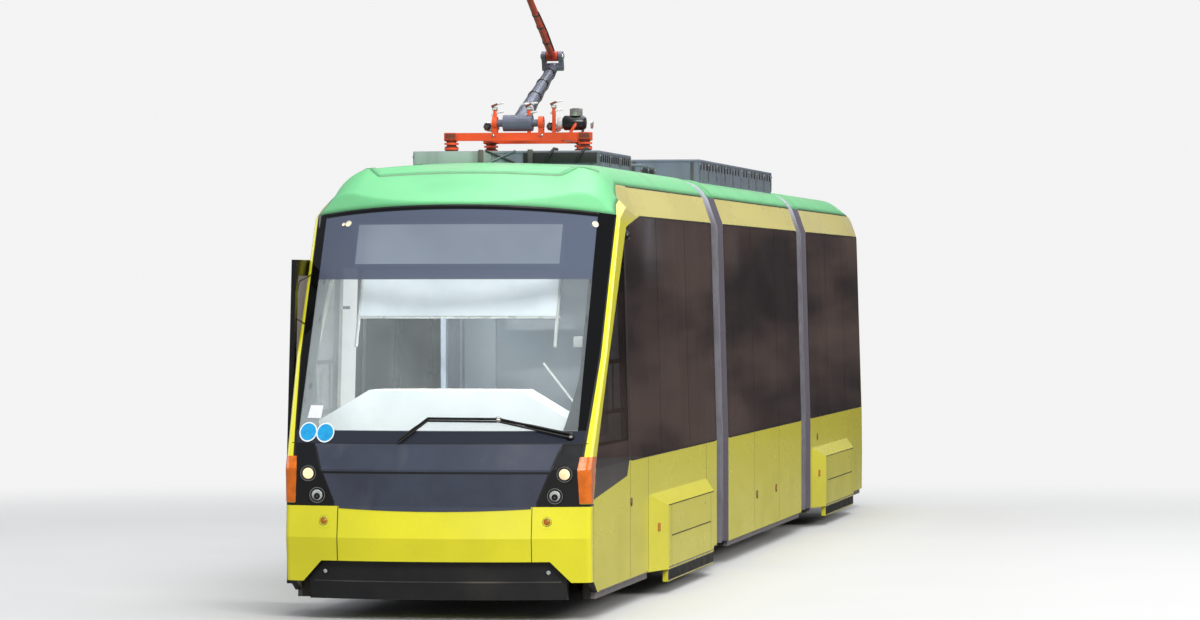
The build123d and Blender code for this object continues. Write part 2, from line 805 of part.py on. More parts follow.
front_frame = end_floor(
    front_inner, front_bogie_x, front_pivot_x, front_back_x, 1, (ramp_length, ramp_length)
)
cover_back_x = front_bogie_x - cover_wall_back
cover_front_x = front_bogie_x + cover_wall_front
with BuildPart() as front_underframe:
    add(front_frame)
    add(box_between(apron_back_x, nose_x, -outside, outside, 0, floor_z + 10), mode=Mode.SUBTRACT)
    add(sills(front_back_x + end_wall, cover_back_x))
    add(sills(cover_front_x, sill_front_x))
finish(front_underframe.part, "front_underframe")


# Bogie frames with axle boxes, springs, motors and rail brakes
beam_inner_y = 640
beam_outer_y = 790
box_half = 130
box_top_z = 455
box_foot_z = 215
beam_top_z = 400
beam_foot_z = 250
spring_top_z = 515
journal_radius = 60
motor_width = 170
motor_half_length = 420


def bogie_frame(centre_x):
    """The welded frame of one bogie."""
    axle_x = wheelbase / 2
    half_outline = [
        (0, beam_foot_z), (axle_x - 250, beam_foot_z), (axle_x - box_half, box_foot_z),
        (axle_x + box_half, box_foot_z), (axle_x + 220, beam_foot_z), (axle_x + 220, beam_top_z),
        (axle_x + box_half, box_top_z), (axle_x - box_half, box_top_z), (axle_x - 300, beam_top_z),
        (0, beam_top_z),
    ]
    outline = [(centre_x + x, z) for x, z in half_outline]
    outline += [(centre_x - x, z) for x, z in reversed(half_outline[1:-1])]
    with BuildPart() as frame:
        for side in (-1, 1):
            y_low, y_high = sorted((side * beam_inner_y, side * beam_outer_y))
            add(side_block(outline, y_low, y_high))
            for end in (-1, 1):
                with Locations(Plane.XZ * Pos(centre_x + end * axle_x, axle_z, -side * (beam_inner_y + beam_outer_y) / 2)):
                    Cylinder(journal_radius + running_clearance, 200, mode=Mode.SUBTRACT)
                with Locations((centre_x + end * 260, side * (beam_inner_y + beam_outer_y) / 2, (beam_top_z + spring_top_z) / 2)):
                    Cylinder(70, spring_top_z - beam_top_z)
            with Locations((centre_x, side * (beam_outer_y + motor_width / 2), 325)):
                Box(2 * motor_half_length, motor_width, 190)
            with Locations((centre_x, side * 545, 70)):
                Box(900, 90, 70)
            for end in (-1, 1):
                with Locations((centre_x + end * 330, side * 600, 170)):
                    Box(60, 110, 240)
        with Locations((centre_x, 0, (beam_foot_z + beam_top_z) / 2)):
            Box(360, 2 * beam_inner_y, beam_top_z - beam_foot_z)
        with Locations((centre_x, 0, beam_foot_z)):
            Cylinder(pivot_radius + running_clearance, 400, mode=Mode.SUBTRACT)
    return frame.part


finish(bogie_frame(front_bogie_x), "front_bogie_frame")
finish(bogie_frame(rear_bogie_x), "rear_bogie_frame")

# Wheelsets: half the profile as (distance from the centre, radius), turned about the axle
wheel_profile = [
    (0, 75), (430, 75), (430, 115), (478, 115), (505, 140), (505, 245), (470, 262),
    (470, flange_radius), (488, flange_radius), (500, tread_radius + 6), (508, tread_radius),
    (590, tread_radius - 4), (590, 262), (545, 245), (545, 140), (560, 115), (600, 115),
    (600, journal_radius), (beam_outer_y, journal_radius), (beam_outer_y, 0),
]


def wheelset(x):
    """An axle with its two wheels."""
    outline = [(y, axle_z + radius) for y, radius in wheel_profile]
    outline += [(-y, z) for y, z in reversed(outline[1:])]
    with BuildPart() as turned:
        with BuildSketch(Plane.YZ.offset(x)):
            with BuildLine():
                Polyline(*outline, close=True)
            make_face()
        revolve(axis=Axis((x, 0, axle_z), (0, 1, 0)))
    return turned.part


wheelset_places = [
    front_bogie_x + wheelbase / 2, front_bogie_x - wheelbase / 2,
    rear_bogie_x + wheelbase / 2, rear_bogie_x - wheelbase / 2,
]
for number, place_x in enumerate(wheelset_places, start=1):
    finish(wheelset(place_x), f"wheelset_{number}")

# Middle section
middle_outer = straight_hull(middle_back_x, middle_front_x, 0)
middle_pane_back = straight_hull(middle_back_x, middle_front_x, pane)
middle_bed = straight_hull(middle_back_x, middle_front_x, pane + pane_bed)
middle_inner = straight_hull(middle_back_x + end_wall, middle_front_x - end_wall, wall)
middle_shell = middle_outer - middle_inner - gangway_cut
middle_region = rectangle_outline(middle_back_x, middle_front_x, sill_z, band_top_z)
middle_left_panes = pane_bounds(middle_back_x + end_wall + 10, middle_front_x - end_wall - 10, 3, pane_joint)
middle_band = rectangle_outline(middle_back_x + end_wall, middle_front_x - end_wall, waist_z, glass_top_z)
double_door_width = 1300
door_head_z = 2950
middle_door_places = [middle_front_x - 900, middle_back_x + 900]


def door_outline(centre_x, width):
    """A doorway's edges in side view: a seam round the leaves, close over their hanging edge."""
    return rectangle_outline(
        centre_x - width / 2 - seam, centre_x + width / 2 + seam,
        doorway_foot_z - seam, door_head_z + seat_clearance,
    )


middle_side_left = wall_side(
    middle_shell, middle_bed, middle_region, [middle_band], pane_apertures(middle_left_panes), None, 1
)
finish(middle_side_left, "middle_side_left")
middle_centre_pane = (middle_door_places[1] + 760, middle_door_places[0] - 760)
middle_right_band = rectangle_outline(*middle_centre_pane, waist_z, glass_top_z)
middle_side_right = wall_side(
    middle_shell, middle_bed, middle_region, [middle_right_band],
    pane_apertures([middle_centre_pane])
    + [door_outline(place, double_door_width) for place in middle_door_places],
    None, -1,
)
finish(middle_side_right, "middle_side_right")

with BuildPart() as middle_roof:
    add(middle_shell)
    add(box_between(middle_back_x, middle_front_x, -outside, outside, band_top_z, hull_head_z), mode=Mode.INTERSECT)
finish(middle_roof.part, "middle_roof")

leaf_frame = 80
leaf_glass_foot_z = 560


def leaf_windows(centre_x, width, leaves):
    """The window edges of the leaves of a closed door."""
    leaf_width = width / leaves
    return [
        rectangle_outline(
            centre_x - width / 2 + index * leaf_width + leaf_frame,
            centre_x - width / 2 + (index + 1) * leaf_width - leaf_frame,
            leaf_glass_foot_z, door_head_z - leaf_frame,
        )
        for index in range(leaves)
    ]


def door_leaves(outer, inner, centre_x, width, leaves):
    """Closed leaves cut from the wall's own form."""
    leaf_width = width / leaves
    with BuildPart() as doors:
        for index in range(leaves):
            low = centre_x - width / 2 + index * leaf_width + seam / 2
            add(side_block(
                rectangle_outline(low, low + leaf_width - seam, doorway_foot_z, door_head_z), -outside, 0
            ))
        for window in leaf_windows(centre_x, width, leaves):
            add(side_block(window, -outside, 0), mode=Mode.SUBTRACT)
        add(outer, mode=Mode.INTERSECT)
        add(inner, mode=Mode.SUBTRACT)
    return doors.part


middle_leaf_inner = straight_hull(middle_back_x, middle_front_x, leaf_thickness)
with BuildPart() as middle_doors:
    for place in middle_door_places:
        add(door_leaves(middle_outer, middle_leaf_inner, place, double_door_width, 2))
finish(middle_doors.part, "middle_doors")

with BuildPart() as middle_glass:
    for outline in pane_outlines(middle_left_panes):
        add(side_block(outline, 0, outside))
    for outline in pane_outlines([middle_centre_pane]):
        add(side_block(outline, -outside, 0))
    for place in middle_door_places:
        for window in leaf_windows(place, double_door_width, 2):
            add(side_block(window, -outside, 0))
    add(middle_outer, mode=Mode.INTERSECT)
    add(middle_pane_back, mode=Mode.SUBTRACT)
finish(middle_glass.part, "middle_glass")

with BuildPart() as middle_underframe:
    add(middle_inner)
    add(
        box_between(-nose_x, nose_x, -outside, outside, floor_z - floor_thickness, floor_z),
        mode=Mode.INTERSECT,
    )
    add(sills(middle_back_x + end_wall, middle_front_x - end_wall))
    add(turntable(front_pivot_x, middle_front_x - end_wall - 20))
    add(turntable(rear_pivot_x, middle_back_x + end_wall + 20))
finish(middle_underframe.part, "middle_underframe")

# Rear section
mirror_plane = Plane.YZ
rear_outer = end_hull(tail, 0, tail.open_x).mirror(mirror_plane)
rear_pane_back = end_hull(tail, pane, tail.open_x).mirror(mirror_plane)
rear_bed = end_hull(tail, pane + pane_bed, tail.open_x).mirror(mirror_plane)
rear_inner = end_hull(tail, wall, tail.open_x + end_wall).mirror(mirror_plane)
rear_shell = rear_outer - rear_inner - gangway_cut.intersect(
    box_between(rear_front_x - end_wall - 10, rear_front_x + 10, -outside, outside, 0, hull_head_z)
)
tail_x = -nose_x
tail_split_x = tail_x + 330
rear_region = rectangle_outline(tail_split_x, rear_front_x, sill_z, band_top_z)
rear_left_panes = pane_bounds(tail_split_x + 20, rear_front_x - end_wall - 10, 3, pane_joint)
rear_band = rectangle_outline(tail_split_x + 10, rear_front_x - end_wall, waist_z, glass_top_z)
rear_door_x = -8450
rear_door_width = 760
rear_right_panes = pane_bounds(rear_door_x + rear_door_width / 2 + 70, rear_front_x - end_wall - 10, 2, pane_joint)
rear_right_band = rectangle_outline(
    rear_door_x + rear_door_width / 2 + 60, rear_front_x - end_wall, waist_z, glass_top_z
)
finish(wall_side(
    rear_shell, rear_bed, rear_region, [rear_band], pane_apertures(rear_left_panes), rear_bogie_x, 1
), "rear_side_left")
finish(wall_side(
    rear_shell, rear_bed, rear_region, [rear_right_band],
    pane_apertures(rear_right_panes) + [door_outline(rear_door_x, rear_door_width)], rear_bogie_x, -1,
), "rear_side_right")

with BuildPart() as rear_roof:
    add(rear_shell)
    add(box_between(tail_x, rear_front_x, -outside, outside, band_top_z, hull_head_z), mode=Mode.INTERSECT)
finish(rear_roof.part, "rear_roof")

rear_leaf_inner = end_hull(tail, leaf_thickness, tail.open_x).mirror(mirror_plane)
finish(door_leaves(rear_outer, rear_leaf_inner, rear_door_x, rear_door_width, 1), "rear_door")

# Rear end with its window and lamps
rear_window_half = 900
rear_window_foot_z = 1250
rear_window_top_z = 2850
tail_lamps_table = [Lamp(930, 1000, 60), Lamp(930, 860, 60)]
rear_end_region = rectangle_outline(tail_x - 50, tail_split_x, sill_z, band_top_z)
rear_window = [
    (-rear_window_half, rear_window_foot_z), (rear_window_half, rear_window_foot_z),
    (rear_window_half, rear_window_top_z), (-rear_window_half, rear_window_top_z),
]
rear_glass_edge = 40
rear_window_pane = [
    (y + rear_glass_edge * (1 if y > 0 else -1), z + rear_glass_edge * (1 if z > 2000 else -1))
    for y, z in rear_window
]
with BuildPart() as rear_end:
    add(rear_shell)
    add(side_block(rear_end_region, -outside, outside), mode=Mode.INTERSECT)
    add(front_block(rear_window_pane, tail_x - 100, tail_x + 400) - rear_bed, mode=Mode.SUBTRACT)
    add(front_block(rear_window, tail_x - 100, tail_x + 400), mode=Mode.SUBTRACT)
    for lamp in tail_lamps_table:
        for side in (-1, 1):
            with Locations(Plane.YZ.offset(tail_x) * Pos(side * lamp.y, lamp.z)):
                Cylinder(lamp.radius + lamp_clearance, 1000, mode=Mode.SUBTRACT)
finish(rear_end.part, "rear_end")

tail_face_x = tail_x + 110
with BuildPart() as tail_lamps:
    for lamp in tail_lamps_table:
        for side in (-1, 1):
            with Locations(Plane.YZ.offset(tail_face_x + 40) * Pos(side * lamp.y, lamp.z)):
                Cylinder(lamp.radius, 80)
finish(tail_lamps.part, "tail_lamps")

with BuildPart() as rear_glass:
    for outline in pane_outlines(rear_left_panes):
        add(side_block(outline, 0, outside))
    for outline in pane_outlines(rear_right_panes) + leaf_windows(rear_door_x, rear_door_width, 1):
        add(side_block(outline, -outside, 0))
    add(front_block(rear_window_pane, tail_x - 100, tail_x + 400))
    add(rear_outer, mode=Mode.INTERSECT)
    add(rear_pane_back, mode=Mode.SUBTRACT)
finish(rear_glass.part, "rear_glass")

rear_frame = end_floor(
    rear_inner, rear_bogie_x, rear_pivot_x, rear_front_x, -1, (ramp_length, short_ramp_length)
)
with BuildPart() as rear_underframe:
    add(rear_frame)
    add(sills(rear_bogie_x + cover_wall_front, rear_front_x - end_wall))
    add(sills(tail_split_x, rear_bogie_x - cover_wall_back))
finish(rear_underframe.part, "rear_underframe")

# Roof boxes
front_box_places = [(5000, 6660, 750, 3560), (2760, 3600, 620, 3530)]
with BuildPart() as front_roof_boxes:
    for x_low, x_high, half, top_z in front_box_places:
        add(box_between(x_low, x_high, -half, half, crown_z - 100, top_z))
    add(front_outer, mode=Mode.SUBTRACT)
finish(front_roof_boxes.part, "front_roof_boxes")
with BuildPart() as middle_roof_box:
    add(box_between(middle_back_x + 60, middle_front_x - 250, -850, 850, crown_z - 150, 3620))
    add(middle_outer, mode=Mode.SUBTRACT)
finish(middle_roof_box.part, "middle_roof_box")


# Bellows: pleated hoops between two sections
bellows_depth = 60
bellows_inset = 45
hoop_inset = 12
hoop_width = 60
hoop_gap = 12
pleat_pitch = 74
pleat_depth = 28


def bellows(x_low, x_high):
    """The pleated skin round a gangway, with two stiff hoops at its middle."""
    centre_x = (x_low + x_high) / 2
    low_x = x_low + seat_clearance
    high_x = x_high - seat_clearance
    skin = straight_hull(low_x, high_x, bellows_inset)
    hoops = straight_hull(centre_x - hoop_width - hoop_gap / 2, centre_x + hoop_width + hoop_gap / 2, hoop_inset)
    core = straight_hull(low_x - 10, high_x + 10, bellows_inset + bellows_depth)
    grooved = straight_hull(low_x - 10, high_x + 10, bellows_inset + pleat_depth)
    groove_places = [
        centre_x + side * (hoop_gap / 2 + hoop_width + (index + 0.5) * pleat_pitch)
        for side in (-1, 1)
        for index in range(4)
    ]
    with BuildPart() as ring:
        add(skin)
        for place in groove_places:
            slot = box_between(place - 8, place + 8, -outside, outside, 0, hull_head_z)
            add(slot - grooved, mode=Mode.SUBTRACT)
        add(hoops)
        centre_slot = box_between(centre_x - hoop_gap / 2, centre_x + hoop_gap / 2, -outside, outside, 0, hull_head_z)
        add(centre_slot - grooved, mode=Mode.SUBTRACT)
        add(core, mode=Mode.SUBTRACT)
        add(box_between(x_low, x_high, -outside, outside, 0, sill_z), mode=Mode.SUBTRACT)
    return ring.part


finish(bellows(middle_front_x, front_back_x), "front_bellows")
finish(bellows(rear_front_x, middle_back_x), "rear_bellows")

# Pantograph
base_x = 6100
base_pivot_z = 3800
arm_length = 1763
arm_angle = 20.6
rise = arm_length * sin(radians(arm_angle))
knee_x = base_x - arm_length * cos(radians(arm_angle))
knee_z = base_pivot_z + rise
head_z = knee_z + rise
roof_box_top_z = front_box_places[0][3]
base_frame_z = 3690
base_tube = 32
foot_places = [(base_x, 550), (base_x, -550), (5250, 380), (5250, -380)]
shaft_radius = 30
bearing_y = 190
bearing_width = 40


def upright_ring(x, y, z, outer_radius, bore_radius, width):
    """A ring with its bore along Y."""
    with BuildPart() as ring:
        with BuildSketch(Plane.XZ.offset(-y - width / 2)):
            with Locations((x, z)):
                Circle(outer_radius)
                Circle(bore_radius, mode=Mode.SUBTRACT)
        extrude(amount=width)
    return ring.part


with BuildPart() as pantograph_base:
    for x, half in ((base_x, 606), (5250, 440)):
        with Locations((x, 0, base_frame_z)):
            Box(2 * base_tube, 2 * half, 2 * base_tube)
    for side in (-1, 1):
        with Locations(((base_x + 5250) / 2, side * 330, base_frame_z)):
            Box(base_x - 5250, 50, 50)
        with Locations((base_x, side * bearing_y, (base_frame_z + base_pivot_z) / 2)):
            Box(70, bearing_width, base_pivot_z - base_frame_z)
        add(upright_ring(base_x, side * bearing_y, base_pivot_z, 55, 20, bearing_width))
        with Locations(Plane.XZ * Pos(base_x, base_pivot_z, -side * bearing_y)):
            Cylinder(shaft_radius + running_clearance, bearing_width + 2, mode=Mode.SUBTRACT)
    for x, y in foot_places:
        with Locations((x, y, (roof_box_top_z + base_frame_z) / 2)):
            Cylinder(38, base_frame_z - roof_box_top_z)
        with Locations((x, y, roof_box_top_z + 35), (x, y, roof_box_top_z + 75)):
            Cylinder(58, 16)
finish(pantograph_base.part, "pantograph_base")


def tube_between(start, end, radius):
    """A round bar between two points."""
    path = Vector(*end) - Vector(*start)
    with BuildPart() as bar:
        with BuildSketch(Plane(origin=start, z_dir=path)):
            Circle(radius)
        extrude(amount=path.length)
    return bar.part


def tapered_bar(start, end, start_radius, end_radius):
    """A tapered round bar between two points."""
    path = Vector(*end) - Vector(*start)
    with BuildPart() as bar:
        with BuildSketch(Plane(origin=start, z_dir=path)):
            Circle(start_radius)
        with BuildSketch(Plane(origin=end, z_dir=path)):
            Circle(end_radius)
        loft()
    return bar.part


knee_half = 90
knee_ring = 42
knee_pin_radius = 18
knee_ring_width = 36
knee_gap = 6
knee_drop = 95
direction_x = cos(radians(arm_angle))
direction_z = sin(radians(arm_angle))


def knee_point(along, below):
    """A place near the knee, measured along the lower arm towards its foot and square below it."""
    return (
        knee_x + along * direction_x - below * direction_z,
        knee_z - along * direction_z - below * direction_x,
    )


arm_end_x, arm_end_z = knee_point(0, knee_drop)
with BuildPart() as lower_arm:
    add(tapered_bar((base_x, 0, base_pivot_z), (arm_end_x, 0, arm_end_z), 62, 38))
    add(tube_between((base_x, -bearing_y - 20, base_pivot_z), (base_x, bearing_y + 20, base_pivot_z), shaft_radius))
    add(tube_between((base_x, -120, base_pivot_z), (base_x, 120, base_pivot_z), 66))
    add(tube_between((arm_end_x, -knee_half, arm_end_z), (arm_end_x, knee_half, arm_end_z), 34))
    for side in (-1, 1):
        ring_y = side * (knee_half - knee_ring_width / 2)
        y_low, y_high = sorted((ring_y - knee_ring_width / 2, ring_y + knee_ring_width / 2))
        add(side_block([
            knee_point(-30, 28), knee_point(30, 28), knee_point(30, knee_drop), knee_point(-30, knee_drop),
        ], y_low, y_high))
        add(upright_ring(knee_x, ring_y, knee_z, knee_ring, knee_pin_radius - 5, knee_ring_width))
        with Locations(Plane.XZ * Pos(knee_x, knee_z, -ring_y)):
            Cylinder(knee_pin_radius + running_clearance, knee_ring_width + 2, mode=Mode.SUBTRACT)
finish(lower_arm.part, "lower_arm")

# Upper arm: a bar from the knee that spreads into two legs under the head
knee_hub_half = knee_half - knee_ring_width - knee_gap
head_bar_half = 330
leg_split = 0.75
split_x = knee_x + leg_split * (base_x - knee_x)
split_z = knee_z + leg_split * rise
head_ring = 34
head_ring_width = 40
head_pin_radius = 14
with BuildPart() as upper_arm:
    add(tube_between((knee_x, -knee_half, knee_z), (knee_x, knee_half, knee_z), knee_pin_radius))
    add(tube_between((knee_x, -knee_hub_half, knee_z), (knee_x, knee_hub_half, knee_z), knee_ring))
    add(tapered_bar((knee_x, 0, knee_z), (split_x, 0, split_z), 32, 26))
    add(tube_between((split_x, -60, split_z), (split_x, 60, split_z), 30))
    for side in (-1, 1):
        add(tapered_bar((split_x, side * 40, split_z), (base_x, side * head_bar_half, head_z), 24, 18))
        add(upright_ring(base_x, side * head_bar_half, head_z, head_ring, 10, head_ring_width))
        with Locations(Plane.XZ * Pos(base_x, head_z, -side * head_bar_half)):
            Cylinder(head_pin_radius + running_clearance, 2.5 * head_ring_width, mode=Mode.SUBTRACT)
finish(upper_arm.part, "upper_arm")

# Collector head: a cross shaft, two carriers and two contact strips with horns
strip_half = 560
strip_offset = 190
strip_height = 110
strip_depth = 34
horn_drop = 170
horn_reach = 250
strip_top_z = head_z + strip_height


def strip_outline():
    """A contact strip with its drooping horns, seen from the front."""
    low = strip_top_z - strip_depth
    return [
        (-strip_half, low), (-strip_half - horn_reach, low - horn_drop),
        (-strip_half - horn_reach, strip_top_z - horn_drop), (-strip_half, strip_top_z),
        (strip_half, strip_top_z), (strip_half + horn_reach, strip_top_z - horn_drop),
        (strip_half + horn_reach, low - horn_drop), (strip_half, low),
    ]


with BuildPart() as collector_head:
    shaft_half = head_bar_half + 0.75 * head_ring_width
    add(tube_between((base_x, -shaft_half, head_z), (base_x, shaft_half, head_z), head_pin_radius))
    for side in (-1, 1):
        carrier_y = side * (head_bar_half - 90)
        add(side_block([
            (base_x - 26, head_z - 24), (base_x + 26, head_z - 24), (base_x + 50, head_z + 24),
            (base_x + strip_offset + 20, strip_top_z - strip_depth - 30),
            (base_x + strip_offset + 20, strip_top_z - strip_depth / 2),
            (base_x + strip_offset - 20, strip_top_z - strip_depth / 2),
            (base_x, head_z + 40),
            (base_x - strip_offset + 20, strip_top_z - strip_depth / 2),
            (base_x - strip_offset - 20, strip_top_z - strip_depth / 2),
            (base_x - strip_offset - 20, strip_top_z - strip_depth - 30), (base_x - 50, head_z + 24),
        ], carrier_y - 12, carrier_y + 12))
        add(front_block(strip_outline(), base_x + side * strip_offset - 25, base_x + side * strip_offset + 25))
finish(collector_head.part, "collector_head")

# Cab
console_top_z = 1700
console_top_half = 580
console_side_z = 1475
console_half = 960
console_back_x = 8750
with BuildPart() as dashboard:
    add(front_block([
        (-console_half, 1000), (console_half, 1000), (console_half, console_side_z),
        (console_top_half, console_top_z), (-console_top_half, console_top_z), (-console_half, console_side_z),
    ], console_back_x, 9230))
    add(front_block([(-700, floor_z), (700, floor_z), (700, 1001), (-700, 1001)], 9000, 9180))
    add(end_hull(nose, wall + 20, front_back_x), mode=Mode.INTERSECT)
finish(dashboard.part, "dashboard")

partition_x = 7120
partition_y = -250
partition_door_x = 7900
with BuildPart() as cab_partition:
    add(box_between(partition_x - 40, partition_x, partition_y, outside, floor_z, hull_head_z))
    add(box_between(partition_x - 40, partition_door_x, partition_y - 40, partition_y, floor_z, hull_head_z))
    add(front_inner, mode=Mode.INTERSECT)
    add(box_between(partition_x - 50, partition_x + 10, 0, 900, 1300, 2600), mode=Mode.SUBTRACT)
    add(box_between(partition_x + 100, partition_door_x - 80, -400, -200, 1300, 2600), mode=Mode.SUBTRACT)
finish(cab_partition.part, "cab_partition")

sign_half = 790
sign_foot_z = 2640
sign_face_x = 8520
blind_half = 770
blind_top_z = 2540
blind_foot_z = 2240
guide_foot_z = 2020
guide_radius = 8
screen_slope = (nose_centre_x - screen_top_x) / (screen_top_z - waist_z)
with BuildPart() as destination_sign:
    add(box_between(sign_face_x - 150, sign_face_x, -sign_half, sign_half, sign_foot_z, hull_head_z))
    add(front_inner, mode=Mode.INTERSECT)
    blind_run = (sign_foot_z - blind_foot_z) * screen_slope
    add(side_block([
        (sign_face_x - 12, sign_foot_z), (sign_face_x - 6, sign_foot_z),
        (sign_face_x - 6 + blind_run, blind_foot_z), (sign_face_x - 12 + blind_run, blind_foot_z),
    ], -blind_half, blind_half))
    guide_run = (sign_foot_z - guide_foot_z) * screen_slope
    for side in (-1, 1):
        add(tube_between(
            (sign_face_x - 9, side * (blind_half - guide_radius), sign_foot_z + 20),
            (sign_face_x - 9 + guide_run, side * (blind_half - guide_radius), guide_foot_z), guide_radius,
        ))
finish(destination_sign.part, "destination_sign")

# Seats: side outline of one shell as (forward, up) from the foot of its backrest
seat_width = 440
seat_shell = [
    (-30, 0), (420, 20), (440, 60), (400, 85), (60, 60), (-60, 640), (-110, 660), (-120, 600), (-70, 60),
]
seat_height = 360
Seat = namedtuple("Seat", "x y floor facing")


def seats(places):
    """Seats on pedestals; facing is 1 for forwards and -1 for backwards."""
    with BuildPart() as group:
        for place in places:
            outline = [(place.x + place.facing * x, place.floor + seat_height + z) for x, z in seat_shell]
            add(side_block(outline, place.y - seat_width / 2, place.y + seat_width / 2))
            with Locations((place.x + place.facing * 180, place.y, place.floor + seat_height / 2 + 8)):
                Box(120, 200, seat_height + 16)
    return group.part


seat_y = body_half - wall - 40 - seat_width / 2
front_seat_places = [
    Seat(front_bogie_x + along_x, side * seat_y, well_top_z, facing)
    for side in (-1, 1)
    for along_x, facing in ((-1200, 1), (-130, -1), (130, 1), (1200, -1))
]


with BuildPart() as front_seats:
    for place in front_seat_places:
        outline = [(place.x + place.facing * x, well_top_z + 40 + z) for x, z in seat_shell]
        add(side_block(outline, place.y - seat_width / 2, place.y + seat_width / 2))
        with Locations((place.x + place.facing * 180, place.y, well_top_z + 30)):
            Box(200, 300, 60)
finish(front_seats.part, "front_seats")
rear_shift = rear_bogie_x - front_bogie_x
finish(Pos(rear_shift, 0, 0) * front_seats.part, "rear_seats")

middle_seat_places = [
    Seat(x, seat_y, floor_z, facing)
    for x, facing in ((1100, -1), (-100, 1), (-300, -1), (-1500, 1), (-1700, -1), (-2900, 1))
]
finish(seats(middle_seat_places), "middle_seats")
driver_place = Seat(8050, 100, floor_z, 1)
finish(seats([driver_place]), "driver_seat")

# Grab rails: poles from floor to ceiling, with a high bar between the first and last
pole_radius = 17
bar_z = 2150
pole_y = 420


def rails(places, foot_z, ceiling):
    """A row of poles, one bar along each side, cut at the ceiling."""
    low_x = min(places)
    high_x = max(places)
    with BuildPart() as group:
        for side in (-1, 1):
            for x in places:
                add(tube_between((x, side * pole_y, foot_z), (x, side * pole_y, hull_head_z), pole_radius))
            add(tube_between((low_x, side * pole_y, bar_z), (high_x, side * pole_y, bar_z), pole_radius))
        add(ceiling, mode=Mode.INTERSECT)
    return group.part


finish(rails([front_bogie_x - 1300, front_bogie_x, front_bogie_x + 1300], well_top_z, front_inner), "front_rails")
finish(rails([rear_bogie_x - 1300, rear_bogie_x, rear_bogie_x + 1300], well_top_z, rear_inner), "rear_rails")
finish(rails([middle_back_x + 500, -1000, middle_front_x - 500], floor_z, middle_inner), "middle_rails")

# Wiper: its arm runs over the glass from a pivot low on the left
wiper_pivot = (985, 1360)
wiper_elbow = (470, 1475)
wiper_tip = (-70, 1480)
blade_foot = (-275, 1320)
wiper_stand = 26


def over_glass(place):
    """The point a hand's breadth off the windscreen at a place seen from the front."""
    y, z = place
    return (nose_surface_x(y, z) + wiper_stand, y, z)


with BuildPart() as wiper:
    pivot_point = over_glass(wiper_pivot)
    elbow = over_glass(wiper_elbow)
    tip = over_glass(wiper_tip)
    foot = over_glass(blade_foot)
    add(tube_between((pivot_point[0] - wiper_stand - 4, wiper_pivot[0], wiper_pivot[1]), pivot_point, 22))
    add(tube_between(pivot_point, elbow, 9))
    add(tube_between(elbow, tip, 8))
    add(tube_between(tip, foot, 7))
    add(front_outer, mode=Mode.SUBTRACT)
finish(wiper.part, "wiper")

# Side cameras on the cab's front corners
camera_place = (7740, 2870)
camera_radius = 40
with BuildPart() as side_cameras:
    for side in (-1, 1):
        camera_y = side * (head_half + 28)
        with Locations((camera_place[0], camera_y, camera_place[1])):
            Sphere(camera_radius)
        with Locations((camera_place[0], side * (head_half - 2), camera_place[1])):
            Box(50, 50, 50)
    add(front_outer, mode=Mode.SUBTRACT)
finish(side_cameras.part, "side_cameras")
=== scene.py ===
import math

import bmesh
import bpy
from mathutils import Matrix, Vector
from mathutils.bvhtree import BVHTree


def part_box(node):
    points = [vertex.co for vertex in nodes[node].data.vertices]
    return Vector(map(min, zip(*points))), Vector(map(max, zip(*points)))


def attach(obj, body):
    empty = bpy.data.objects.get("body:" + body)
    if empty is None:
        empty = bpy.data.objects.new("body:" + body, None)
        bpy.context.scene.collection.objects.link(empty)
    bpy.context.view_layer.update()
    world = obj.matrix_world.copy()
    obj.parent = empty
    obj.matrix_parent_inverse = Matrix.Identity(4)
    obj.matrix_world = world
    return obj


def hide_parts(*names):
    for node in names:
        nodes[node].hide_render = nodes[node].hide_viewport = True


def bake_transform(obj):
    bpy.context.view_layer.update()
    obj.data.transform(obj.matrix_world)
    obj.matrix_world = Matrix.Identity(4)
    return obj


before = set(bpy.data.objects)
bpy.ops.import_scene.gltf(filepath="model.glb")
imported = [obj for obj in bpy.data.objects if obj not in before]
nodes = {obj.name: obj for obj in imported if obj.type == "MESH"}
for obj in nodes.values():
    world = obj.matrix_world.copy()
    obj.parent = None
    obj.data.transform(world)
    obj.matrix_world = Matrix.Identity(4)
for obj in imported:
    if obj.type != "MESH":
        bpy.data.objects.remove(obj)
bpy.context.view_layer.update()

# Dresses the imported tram: camera, finishes, trim and small fittings, then light and floor.
# In metres, with x towards the front, y towards the vehicle's left and z up.

SIDES = (-1, 1)

# Camera at the photograph's viewpoint
CAMERA_AT = Vector((44.4601, 6.84562, 2.46812))
CAMERA_YAW = 0.15961
CAMERA_PITCH = -0.00472
CAMERA_ROLL = -0.0011
IMAGE_WIDTH = 1200
FOCAL_PIXELS = 4804.3
SENSOR_WIDTH = 36.0


def placed(name, data):
    """A new object in the scene."""
    made = bpy.data.objects.new(name, data)
    bpy.context.scene.collection.objects.link(made)
    return made


